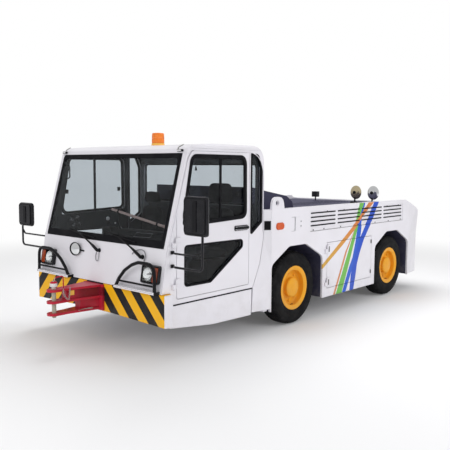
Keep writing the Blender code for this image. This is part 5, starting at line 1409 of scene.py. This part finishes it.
# %% Rims and wheel nuts
WHEEL_X, AXLE_Z = 1.044, 0.490
AXLE_Y = {"front": -0.440, "rear": 2.220}
RIM_PROFILE = (
    (0, 0.1049), (0.104, 0.1049), (0.112, 0.102), (0.1179, 0.097), (0.124, 0.0945),
    (0.1295, 0.090), (0.130, 0.044), (0.136, 0.0365), (0.165, 0.0279), (0.218, 0.0279),
    (0.228, 0.034), (0.2345, 0.046), (0.236, 0.060), (0.236, 0.1048), (0.240, 0.1075),
    (0.272, 0.1205), (0.280, 0.1219), (0.289, 0.1219), (0.2945, 0.1185), (0.2949, 0.110),
    (0.2551, 0.1099), (0.2551, -0.1099), (0.2949, -0.110), (0.2949, -0.1215), (0.236, -0.1219),
    (0.236, 0.010), (0.165, 0.0041), (0.1001, 0.0041), (0.0951, -0.0179), (0.0427, -0.0179),
    (0.0427, 0.0719), (0, 0.0719))
NUT_COUNT, NUT_CIRCLE, NUT_ALONG = 10, 0.186, 0.0345


def wheels():
    """Each wheel's label and its own frame, whose +z runs outward along the axle."""
    for end, y in AXLE_Y.items():
        for side_name, side in SIDES:
            yield (f"{end}_{side_name}",
                   upright("x" if side > 0 else "-x", (side * WHEEL_X, y, AXLE_Z)))


for label, place in wheels():
    shape = bmesh.new()
    turned(shape, RIM_PROFILE, place, 72)
    turned(shape, ((0, 0.1052), (0.030, 0.1052), (0.038, 0.1062), (0.036, 0.1075), (0, 0.108)),
           place)
    made("rim_shape_" + label, shape, rim_paint, "wheel_" + label, ("rim_" + label,), 30)
    spots = [place @ polar(NUT_CIRCLE, 2 * math.pi * number / NUT_COUNT, NUT_ALONG)
             for number in range(NUT_COUNT)]
    mesh = baked(studs, spots, Sides=6, Radius=0.0165, Height=0.013,
                 Turn=(0.0, QUARTER, 0.0), Material=rim_paint)
    placed("wheel_nuts_" + label, mesh, rim_paint, "wheel_" + label, ("rim_" + label,))
    shape = bmesh.new()
    stem = [place @ Vector(spot) for spot in ((0.240, 0, 0.060), (0.224, 0, 0.075),
                                              (0.222, 0, 0.100))]
    tube(shape, bent(stem, 0.01), 0.0045, 8)
    made("valve_" + label, shape, dark_steel, "wheel_" + label)
print("rims ready")

# %% Tyres with tread
BLOCKS = 58             # tread blocks round the tyre
BLOCK_STEPS = (0.0, 0.70, 0.75, 0.95)   # where a block ends and its gap begins, as shares
GROOVE_SWAY = 0.0045
# radius, along, sinks in a gap, moves with the zigzag
TYRE_HALF = (
    (0.4899, 0.000, 0, 0), (0.4898, 0.019, 0, 1), (0.4790, 0.022, 0, 1), (0.4788, 0.029, 0, 1),
    (0.4889, 0.032, 0, 1), (0.4880, 0.053, 0, -1), (0.4780, 0.056, 0, -1),
    (0.4775, 0.062, 0, -1), (0.4868, 0.065, 1, -1), (0.4790, 0.089, 1, 0),
    (0.4758, 0.0985, 1, 0), (0.4690, 0.1045, 1, 0), (0.4600, 0.1105, 1, 0),
    (0.4495, 0.1152, 0, 0), (0.4440, 0.1182, 0, 0), (0.4400, 0.1178, 0, 0),
    (0.4250, 0.1225, 0, 0), (0.4050, 0.1270, 0, 0), (0.3800, 0.1287, 0, 0),
    (0.3520, 0.1290, 0, 0), (0.3450, 0.1298, 0, 0), (0.3400, 0.1275, 0, 0),
    (0.3200, 0.1238, 0, 0), (0.3140, 0.1242, 0, 0), (0.3080, 0.1218, 0, 0),
    (0.2956, 0.1208, 0, 0), (0.2956, 0.1097, 0, 0), (0.2554, 0.1096, 0, 0))
GAP_DEPTH = 0.011
SHOULDER = 0.10         # from this far out a gap sinks by half


def tyre_section(number, in_gap):
    """The points of the closed section at one step round the tyre."""
    sway = GROOVE_SWAY if number % 2 else -GROOVE_SWAY
    section = []
    for mirror in (1, -1):
        half = []
        for radius, along, sinks, sways in TYRE_HALF:
            if sinks and in_gap:
                radius -= GAP_DEPTH * (1.0 if along < SHOULDER else 0.5)
            half.append((radius, mirror * along + sway * sways))
        section.extend(half if mirror > 0 else half[:0:-1])
    return section


for label, place in wheels():
    shape = bmesh.new()
    loops = []
    for number in range(BLOCKS):
        for step, share in enumerate(BLOCK_STEPS):
            angle = 2 * math.pi * (number + share) / BLOCKS
            loops.append([shape.verts.new(place @ polar(radius, angle, along))
                          for radius, along in tyre_section(number, step > 1)])
    skin_along(shape, loops, closed=True)
    made("tyre_shape_" + label, shape, tyre_rubber, "wheel_" + label, ("tyre_" + label,), 28)
print("tyres ready:", BLOCKS, "blocks each")

# %% [markdown]
# ## Seats
# A seat pad is foam in a sewn cover: crowned in the middle, pulled in at its corners and at its
# channels. Each pad starts as a slightly small rounded form, is blown up a little by a cloth
# simulation, and then gets its channels.

# %% Seat pads
PAD_EXPONENT = 5.0
PAD_INSET = 0.008
PAD_LIMIT = 0.008       # how far the simulation may push a point
PAD_VOXEL = 0.008
PAD_FRAMES = 20
PAD_CUTS = 15
PAD_CROWN = 0.10        # how much thinner a pad is at its rim than in its middle
PAD_PRESSURE = 4.0
CLOTH_QUALITY = 5
CHANNEL_DEPTH, CHANNEL_WIDTH = 0.006, 0.010


def pad_form(low, high, narrow_top):
    """A rounded closed form that fills a box, narrower at its top where asked."""
    shape = bmesh.new()
    bmesh.ops.create_cube(shape, size=2)
    bmesh.ops.subdivide_edges(shape, edges=shape.edges[:], cuts=PAD_CUTS, use_grid_fill=True)
    middle = (Vector(low) + Vector(high)) / 2
    half = (Vector(high) - Vector(low)) / 2 - Vector((PAD_INSET,) * 3)
    thin = min(range(3), key=lambda axis: half[axis])
    for point in shape.verts:
        spot = point.co.copy()
        reach = sum(abs(part) ** PAD_EXPONENT for part in spot) ** (1 / PAD_EXPONENT)
        spot /= max(reach, 1e-6)
        pull = 1.0
        for axis in range(3):
            if axis != thin:
                pull *= 1 - PAD_CROWN * spot[axis] ** 2
        spot[thin] *= pull
        spot.x *= 1 - narrow_top * (spot.z + 1) / 2
        point.co = middle + Vector(part * size for part, size in zip(spot, half))
    return shape


def inflate(piece):
    """Blow the cover up a little with Blender's cloth, then keep the result."""
    remesh = piece.modifiers.new("voxels", "REMESH")
    remesh.mode = "VOXEL"
    remesh.voxel_size = PAD_VOXEL
    keep_modifiers(piece)
    before = [point.co.copy() for point in piece.data.vertices]
    cloth = piece.modifiers.new("cover", "CLOTH")
    cloth.settings.quality = CLOTH_QUALITY
    cloth.settings.use_pressure = True
    cloth.settings.uniform_pressure_force = PAD_PRESSURE
    cloth.settings.effector_weights.gravity = 0
    for frame_number in range(1, PAD_FRAMES + 1):
        bpy.context.scene.frame_set(frame_number)
    keep_modifiers(piece)
    for point, start in zip(piece.data.vertices, before):
        moved = point.co - start
        if moved.length > PAD_LIMIT:
            point.co = start + moved.normalized() * PAD_LIMIT
    bpy.context.scene.frame_set(1)


def keep_modifiers(piece):
    """Replace the mesh by what its modifiers make of it."""
    graph = bpy.context.evaluated_depsgraph_get()
    mesh = bpy.data.meshes.new_from_object(piece.evaluated_get(graph))
    piece.modifiers.clear()
    old = piece.data
    piece.data = mesh
    mesh.name = piece.name
    bpy.data.meshes.remove(old)


def sewn_pad(name, low, high, node, channels=(), narrow_top=0.0):
    """One padded piece; channels are (axis, place along it)."""
    shape = pad_form(low, high, narrow_top)
    mesh = bpy.data.meshes.new(name)
    shape.to_mesh(mesh)
    shape.free()
    piece = added(name, mesh)
    inflate(piece)
    finer = piece.modifiers.new("finer", "SUBSURF")
    finer.levels = finer.render_levels = 1
    keep_modifiers(piece)
    middle = (Vector(low) + Vector(high)) / 2
    thin = min(range(3), key=lambda axis: high[axis] - low[axis])
    for point in piece.data.vertices:
        for axis, spot in channels:
            away = (point.co[axis] - spot) / CHANNEL_WIDTH
            sink = CHANNEL_DEPTH * math.exp(-away * away)
            point.co[thin] -= math.copysign(sink, point.co[thin] - middle[thin])
    piece.data.materials.clear()
    piece.data.materials.append(seat_cloth)
    piece.data.polygons.foreach_set("use_smooth", [True] * len(piece.data.polygons))
    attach(piece, "chassis")
    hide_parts(node)


# name: middle x, half width, half width of the head, neck height, top
SEATS = {"seat": (0.600, 0.250, 0.220, 1.600, 1.900),
         "passenger": (-0.690, 0.220, 0.165, 1.560, 1.745)}
BACK_Y = (-1.3495, -1.2400)
CUSHION_Y = (-1.800, -1.352)
CUSHION_Z = (0.961, 1.080)
CUSHION_CHANNELS_Y = (-1.66, -1.52)
BACK_CHANNELS_Z = (1.14, 1.28, 1.42)
CUSHION_SIDE, BACK_SIDE = 0.62, 0.66    # where the side channels lie, as shares of half
HEAD_POST_X, HEAD_POST_Y = 0.07, -1.295
for name, (x, half, head, neck, top) in SEATS.items():
    sewn_pad(name + "_cushion_pad", (x - half, CUSHION_Y[0], CUSHION_Z[0]),
             (x + half, CUSHION_Y[1], CUSHION_Z[1]), name + "_cushion",
             (*((1, y) for y in CUSHION_CHANNELS_Y), (0, x - half * CUSHION_SIDE),
              (0, x + half * CUSHION_SIDE)))
    sewn_pad(name + "_back_pad", (x - half, BACK_Y[0], 0.982), (x + half, BACK_Y[1], neck - 0.012),
             name + "_back", (*((2, z) for z in BACK_CHANNELS_Z), (0, x - half * BACK_SIDE),
                              (0, x + half * BACK_SIDE)), 0.06)
    sewn_pad(name + "_head_pad", (x - head, BACK_Y[0] + 0.006, neck + 0.020),
             (x + head, BACK_Y[1] - 0.006, top - 0.003), name + "_back", (), 0.16)
    shape = bmesh.new()
    for post_x in (x - HEAD_POST_X, x + HEAD_POST_X):
        tube(shape, ((post_x, HEAD_POST_Y, neck - 0.030), (post_x, HEAD_POST_Y, neck + 0.050)),
             0.008, 10)
    made(name + "_head_posts", shape, dark_steel)
print(len(SEATS) * 3, "pads")

# %% [markdown]
# ## Inside the cab
# Through the windscreen one sees what the crew uses: a padded bar over the dashboard, the hood
# of the instruments, a small fan in its cage, and the control column with its pale knob. The
# sliding panes have latches, and a handle helps the crew in.

# %% Dashboard fittings
DASH_TOP_Z, BAR_Y = 1.2244, -2.450
BAR_PATH = ((-0.120, BAR_Y, 1.566), (0.870, BAR_Y, 1.407))
BAR_CLAMPS = (0.010, 0.700)
HOOD_X = (0.200, 0.980)
HOOD_LINE = ((-2.605, 1.2245), (-2.600, 1.350), (-2.570, 1.366), (-2.440, 1.358),
             (-2.420, 1.345), (-2.400, 1.2245))
HOOD_VENT = ((0.462, 1.290), (0.515, 1.340), (0.790, 1.346), (0.740, 1.300))


def bar_height(x):
    (start_x, _, start_z), (end_x, _, end_z) = BAR_PATH
    return start_z + (end_z - start_z) * (x - start_x) / (end_x - start_x)


shape = bmesh.new()
tube(shape, BAR_PATH, 0.0155, 14)
made("padded_bar", shape, bar_leather, bevel=0.003)
shape = bmesh.new()
for x in BAR_CLAMPS:
    z = bar_height(x)
    tube(shape, ((x, BAR_Y, DASH_TOP_Z), (x, BAR_Y, z - 0.015)), 0.009, 10)
    turned(shape, ((0.0158, -0.014), (0.021, -0.012), (0.021, 0.012), (0.0158, 0.014)),
           upright("x", (x, BAR_Y, z)), 16, closed=True)
plate(shape, HOOD_LINE, "x", *HOOD_X)
made("instrument_hood", shape, dark_plastic, bevel=0.006)
shape = bmesh.new()
tube(shape, [(x, -2.603, z) for x, z in HOOD_VENT], 0.0028, 8, closed=True)
made("hood_vent", shape, grey_rubber)
print("dashboard fittings ready")

# %% Cab fan
FAN_PLACE = (-0.811, -2.500, 1.381)
FAN_TURN = 42
FAN_RADIUS = 0.098
facing_crew = facing(FAN_PLACE, FAN_TURN)
RING_STEPS, SPOKES, BLADES = 28, 8, 4
back_ring, rim_ring, front_ring = (
    (FAN_RADIUS * 0.72, -0.022), (FAN_RADIUS, 0.0), (FAN_RADIUS * 0.72, 0.022))
shape = bmesh.new()
for radius, along in (rim_ring, back_ring, (FAN_RADIUS * 0.42, -0.030), front_ring):
    ring = [facing_crew @ polar(radius, 2 * math.pi * step / RING_STEPS, along)
            for step in range(RING_STEPS)]
    tube(shape, ring, 0.0030, 6, closed=True)
for step in range(SPOKES):
    spoke = [facing_crew @ polar(radius, 2 * math.pi * step / SPOKES, along) for radius, along in
             ((0.02, -0.030), back_ring, rim_ring, front_ring, (0.03, 0.030))]
    tube(shape, spoke, 0.0020, 5)
turned(shape, ((0, -0.034), (0.022, -0.032), (0.030, -0.012), (0.030, 0.040), (0.022, 0.055),
               (0, 0.056)), facing_crew, 20)
foot = Vector(FAN_PLACE)
tube(shape, (foot + Vector((0, 0.010, -0.030)), Vector((foot.x, foot.y, DASH_TOP_Z + 0.010))),
     0.010, 10)
turned(shape, ((0, 0.0), (0.040, 0.0), (0.036, 0.010), (0, 0.012)),
       upright("z", (foot.x, foot.y, DASH_TOP_Z + CLEAR)), 24)
made("fan_cage", shape, dark_plastic)
shape = bmesh.new()
for blade in range(BLADES):
    corners = [facing_crew @ polar(radius, 2 * math.pi * blade / BLADES + lag, along)
               for radius, lag, along in ((0.030, 0.0, -0.010), (0.080, 0.25, -0.010),
                                          (0.082, 0.75, 0.006), (0.030, 0.7, 0.006))]
    ahead = (facing_crew.to_3x3() @ Vector((0, 0, 1))) * 0.0015
    fronts = [shape.verts.new(spot - ahead) for spot in corners]
    backs = [shape.verts.new(spot + ahead) for spot in corners]
    skin_between(shape, fronts, backs)
    shape.faces.new(fronts)
    shape.faces.new(backs)
made("fan_blades", shape, grey_rubber)
print("fan ready")

# %% Control column, latches and handles
CAB_FLOOR_TOP = 0.6516
COLUMN = (-0.700, -0.500, -2.190, -2.020)
KNOB = (-0.661, -2.100, 1.403)
shape = bmesh.new()
low_x, high_x, low_y, high_y = COLUMN
points = block(shape, (low_x, low_y, CAB_FLOOR_TOP), (high_x, high_y, 1.300))
for point in points:
    if point.co.z > 1.0:
        point.co.x = (low_x + high_x) / 2 + (point.co.x - (low_x + high_x) / 2) * 0.86
        point.co.y += 0.012
turned(shape, ((0, 0), (0.040, 0), (0.034, 0.012), (0.037, 0.020), (0.026, 0.034), (0.028, 0.042),
               (0.014, 0.058), (0, 0.060)), upright("z", (KNOB[0], KNOB[1], 1.2995)), 24)
made("control_column", shape, dark_plastic, bevel=0.008)
shape = bmesh.new()
tube(shape, ((KNOB[0], KNOB[1], 1.345), (KNOB[0], KNOB[1], 1.390)), 0.006, 8)
tube(shape, ((-0.540, -2.080, 1.298), (-0.520, -2.090, 1.345)), 0.005, 8)
made("levers", shape, dark_steel)
shape = bmesh.new()
turned(shape, ((0, -0.026), (0.012, -0.024), (0.022, -0.012), (0.025, 0.002), (0.021, 0.015),
               (0.010, 0.023), (0, 0.024)), upright("z", KNOB), 24)
turned(shape, ((0, -0.012), (0.009, -0.008), (0.011, 0.002), (0.007, 0.010), (0, 0.011)),
       upright("z", (-0.520, -2.090, 1.352)), 16)
made("lever_knobs", shape, white_plastic)
for side_name, side in SIDES:
    shape = bmesh.new()
    for y, z in ((-2.421, 1.750), (-1.560, 1.769)):
        side_block(shape, side, (1.096, PANE_FACE_X - 0.0075), (y - 0.014, y + 0.014),
                   (z - 0.028, z + 0.028))
        side_block(shape, side, (1.082, 1.0965), (y - 0.008, y + 0.008), (z - 0.010, z + 0.022))
    made("pane_latches_" + side_name, shape, dark_plastic, "door_" + side_name, bevel=0.003)
    shape = bmesh.new()
    grip = [(side * x, y, z) for x, y, z in (
        (1.1032, -2.448, 2.096), (1.040, -2.420, 2.096), (1.040, -2.420, 1.926),
        (1.1032, -2.460, 1.926))]
    tube(shape, bent(grip, 0.03), 0.0085, 10)
    made("grab_handle_" + side_name, shape, dark_plastic)
shape = bmesh.new()
tube(shape, ((0.100, -1.230, 2.229), (0.100, -1.230, 2.090)), 0.0022, 6)
turned(shape, ((0, -0.034), (0.014, -0.032), (0.015, -0.020), (0.006, 0.022), (0, 0.024)),
       upright("z", (0.100, -1.230, 2.070)), 16)
made("lamp_pull", shape, dark_plastic)
print("controls ready")

# %% [markdown]
# ## Small fittings outside
# The roof carries two corner lamps in dark brackets. A grey hose feeds the outer wiper and
# another hangs in a loop below the inner one. Dark seams close the lower edge of each vent
# panel and the foot of each side of the cab.

# %% Corner lamps, hose and seams
CORNER_LAMP_X, LAMP_ARM_X = 1.075, 1.045
shape = bmesh.new()
for _, side in SIDES:
    middle = side * CORNER_LAMP_X
    block(shape, (middle - 0.036, -2.478, 2.246), (middle + 0.036, -2.4475, 2.272))
made("corner_lamp_brackets", shape, dark_plastic, bevel=0.003)
shape = bmesh.new()
for _, side in SIDES:
    middle = side * CORNER_LAMP_X
    block(shape, (middle - 0.028, -2.4825, 2.251), (middle + 0.028, -2.4782, 2.268))
made("corner_lamp_lenses", shape, white_plastic, bevel=0.001)
shape = bmesh.new()
for _, side in SIDES:
    foot = side * LAMP_ARM_X
    tube(shape, bent(((foot, -2.466, 2.268), (foot + 0.006, -2.466, 2.292),
                      (foot + 0.060, -2.440, 2.322)), 0.015, 4), 0.0065, 8)
made("corner_lamp_arms", shape, zinc_plate)
HOSE = ((0.612, 1.120), (0.650, 1.152), (0.708, 1.176), (0.778, 1.186), (0.828, 1.166),
        (0.852, 1.126), (0.836, 1.078), (0.820, 1.062))
shape = bmesh.new()
path = [face_point(x, z, 0.016) for x, z in HOSE]
path[0] = face_point(*HOSE[0], 0.004)
path[-1] = face_point(*HOSE[-1], 0.004)
tube(shape, bent(path, 0.04, 4), 0.0052, 8)
loop = [face_point(x, z, out) for x, z, out in (
    (-0.030, 1.080, 0.006), (-0.026, 1.020, 0.014), (0.000, 0.985, 0.016),
    (0.030, 0.985, 0.016), (0.036, 1.020, 0.014), (0.022, 1.078, 0.006))]
tube(shape, bent(loop, 0.025, 4), 0.0042, 8)
made("washer_hose", shape, grey_rubber)
for side_name, side in SIDES:
    shape = bmesh.new()
    side_block(shape, side, (VENT_FACE_X - HAIR, VENT_FACE_X + 0.0085),
               (VENT_START_Y + 0.004, VENT_END_Y - 0.004), (1.2227, 1.2251))
    made("vent_seam_" + side_name, shape, seal_rubber)
    shape = bmesh.new()
    side_block(shape, side, (CAB_FACE_X + CLEAR, CAB_FACE_X + 0.0040), (-2.694, -1.322),
               (0.5990, 0.6145))
    made("cab_foot_seal_" + side_name, shape, seal_rubber, bevel=0.001)
print("outside fittings ready")

# %% [markdown]
# ## Fittings of the towing jaw
# The pin's keeper chain is the one thing here that repeats along a path. Each link is a bent
# ring; every second one is turned by a quarter. A yellow reflector plate and a spring pin finish
# the jaw.

# %% Chain, reflector and spring pin
LINK_PITCH = 0.0145
LINK_NARROW = 0.62      # a link's width as a share of its length
SPRING_PIN_Z = 0.4725
chain_rule, taken, result = new_rule("chain", (
    ("Long", FLOAT), ("Wire", FLOAT), ("Material", "NodeSocketMaterial")))
oval = put(chain_rule, "GeometryNodeCurvePrimitiveCircle", {
    "Resolution": 14, "Radius": taken["Long"]})
narrow = put(chain_rule, "GeometryNodeTransform", {
    "Geometry": oval.outputs[0], "Scale": (1.0, LINK_NARROW, 1.0)})
wire = put(chain_rule, "GeometryNodeCurvePrimitiveCircle", {
    "Resolution": 6, "Radius": taken["Wire"]})
link = put(chain_rule, "GeometryNodeCurveToMesh", {
    "Curve": narrow.outputs[0], "Profile Curve": wire.outputs[0]})
odd = maths(chain_rule, "MODULO", put(chain_rule, "GeometryNodeInputIndex").outputs[0], 2.0)
quarter = maths(chain_rule, "MULTIPLY_ADD", odd, QUARTER, 0.5)
turn = put(chain_rule, "ShaderNodeCombineXYZ", {0: quarter, 1: QUARTER, 2: 0.0})
set_down = put(chain_rule, "GeometryNodeInstanceOnPoints", {
    "Points": taken["Geometry"], "Instance": link.outputs[0], "Rotation": turn.outputs[0]})
close_rule(chain_rule, set_down.outputs[0], result, taken["Material"])


def stepped(path, pitch):
    """Points at an even pitch along a path."""
    spots, left = [path[0].copy()], pitch
    for start, end in zip(path, path[1:]):
        run = (end - start).length
        at = left
        while at < run:
            spots.append(start.lerp(end, at / run))
            at += pitch
        left = at - run
    return spots


JAW_CHAINS = (((0.083, -3.205, 0.728), (0.086, -3.215, 0.670), (0.090, -3.225, 0.606)),
              ((0.079, -3.290, 0.728), (0.084, -3.290, 0.680), (0.085, -3.270, 0.640),
               (0.088, -3.240, 0.612)))
spots = [spot for path in JAW_CHAINS
         for spot in stepped([Vector(point) for point in path], LINK_PITCH)]
mesh = baked(chain_rule, spots, Long=0.0105, Wire=0.0026, Material=zinc_plate)
placed("keeper_chain", mesh, zinc_plate, sharp=60)
shape = bmesh.new()
front, rear = ((0.0716 + (y + 3.225) * 0.1175, y) for y in (-3.205, -3.150))
outline = (front, rear, (rear[0] + 0.002, rear[1]), (front[0] + 0.002, front[1]))
plate(shape, outline, "z", 0.648, 0.700)
made("jaw_reflector", shape, yellow_shell, bevel=0.0006)
shape = bmesh.new()
clip = [(x, y, SPRING_PIN_Z) for x, y in (
    (0.118, -3.120), (0.100, -3.060), (0.112, -2.985), (0.128, -2.960), (0.126, -2.930),
    (0.112, -2.940), (0.104, -2.990))]
tube(shape, bent(clip, 0.03, 4), 0.0052, 8)
made("spring_pin", shape, zinc_plate)
print(len(spots), "links")

# %% [markdown]
# ## Deck, rear and underside
# The deck has a raised grip pattern that keeps boots from slipping, and the cover has its
# handles. The rear wall has what every such tractor has there: lamps, reflectors and a bare
# plate. Below, a shaft drives the rear axle.

# %% Deck
GRIP_ROWS, GRIP_STEPS, GRIP_PITCH = 8, 42, 0.055
shape = bmesh.new()
for _, side in SIDES:
    for y in (-0.70, -0.25):
        grip = [(side * x, y + along, DECK_Z + up) for x, along, up in (
            (0.915, -0.06, 0.003), (0.945, -0.06, 0.045), (0.945, 0.06, 0.045),
            (0.915, 0.06, 0.003))]
        tube(shape, bent(grip, 0.02), 0.006, 8)
made("cover_handles", shape, satin_black)
spots = [(-0.20 + GRIP_PITCH * row + GRIP_PITCH / 2 * (step % 2),
          0.30 + GRIP_PITCH * step * 1.02, DECK_Z + 0.0008)
         for row in range(GRIP_ROWS) for step in range(GRIP_STEPS)]
mesh = baked(slats, spots, Length=0.026, Height=0.007, Thickness=0.0016,
             Turn=(0.0, 0.0, 0.7), Material=slate_paint)
placed("deck_grip", mesh, slate_paint)
shape = bmesh.new()
tube(shape, ((-0.470, 2.500, DECK_Z + CLEAR), (-0.470, 2.500, DECK_Z + 0.070)), 0.012, 10)
block(shape, (-0.525, 2.455, DECK_Z + 0.066), (-0.415, 2.545, DECK_Z + 0.166))
made("rear_work_lamp", shape, gloss_black, bevel=0.006)
shape = bmesh.new()
block(shape, (-0.512, 2.5452, DECK_Z + 0.080), (-0.428, 2.5485, DECK_Z + 0.152))
made("rear_work_lens", shape, white_plastic, bevel=0.001)
print(len(spots), "grip bars")

# %% Rear wall
REAR_FACE_Y = 3.2405
PLATE_SCREW_X = 0.22
REAR_LAMPS = (("stop", 0.700, red_shell), ("turn", 0.815, amber_shell),
              ("reverse", 0.930, white_plastic))
for side_name, side in SIDES:
    shape = bmesh.new()
    low_x, high_x = span(side, 0.630, 1.000)
    outline = rounded_box(low_x, high_x, 1.020, 1.160, 0.02)
    plate(shape, outline, "y", REAR_FACE_Y, REAR_FACE_Y + 0.030)
    made("rear_lamp_box_" + side_name, shape, dark_plastic, bevel=0.004)
    for label, x, finish in REAR_LAMPS:
        shape = bmesh.new()
        turned(shape, ((0, 0.022), (0.020, 0.021), (0.040, 0.014), (0.047, 0.004), (0.050, 0.003),
                       (0.050, 0.0005), (0, 0.0005)),
               upright("y", (side * x, REAR_FACE_Y + 0.030, 1.090)), 32)
        made(f"rear_{label}_{side_name}", shape, finish)
    shape = bmesh.new()
    turned(shape, ((0, 0.009), (0.030, 0.008), (0.036, 0.006), (0.038, 0.0), (0, 0.0)),
           upright("y", (side * 0.815, REAR_FACE_Y, 0.930)), 24)
    made("rear_reflector_" + side_name, shape, red_shell)
shape = bmesh.new()
plate(shape, rounded_box(-0.260, 0.260, 0.930, 1.050, 0.010), "y", REAR_FACE_Y,
      REAR_FACE_Y + 0.002)
for x in (-PLATE_SCREW_X, PLATE_SCREW_X):
    turned(shape, ((0, 0.005), (0.007, 0.004), (0.008, 0.002), (0, 0.002)),
           upright("y", (x, REAR_FACE_Y, 0.990)), 12)
made("bare_plate", shape, white_plastic)
print("rear wall ready")

# %% Under the chassis
shape = bmesh.new()
tube(shape, ((0, 1.44, 0.520), (0, 2.005, 0.500)), 0.045, 20)
for y, z in ((1.470, 0.519), (1.975, 0.501)):
    turned(shape, ((0, -0.018), (0.062, -0.018), (0.062, 0.018), (0, 0.018)),
           upright("y", (0, y, z)), 24)
made("drive_shaft", shape, cast_steel, bevel=0.002)
print("underside ready")
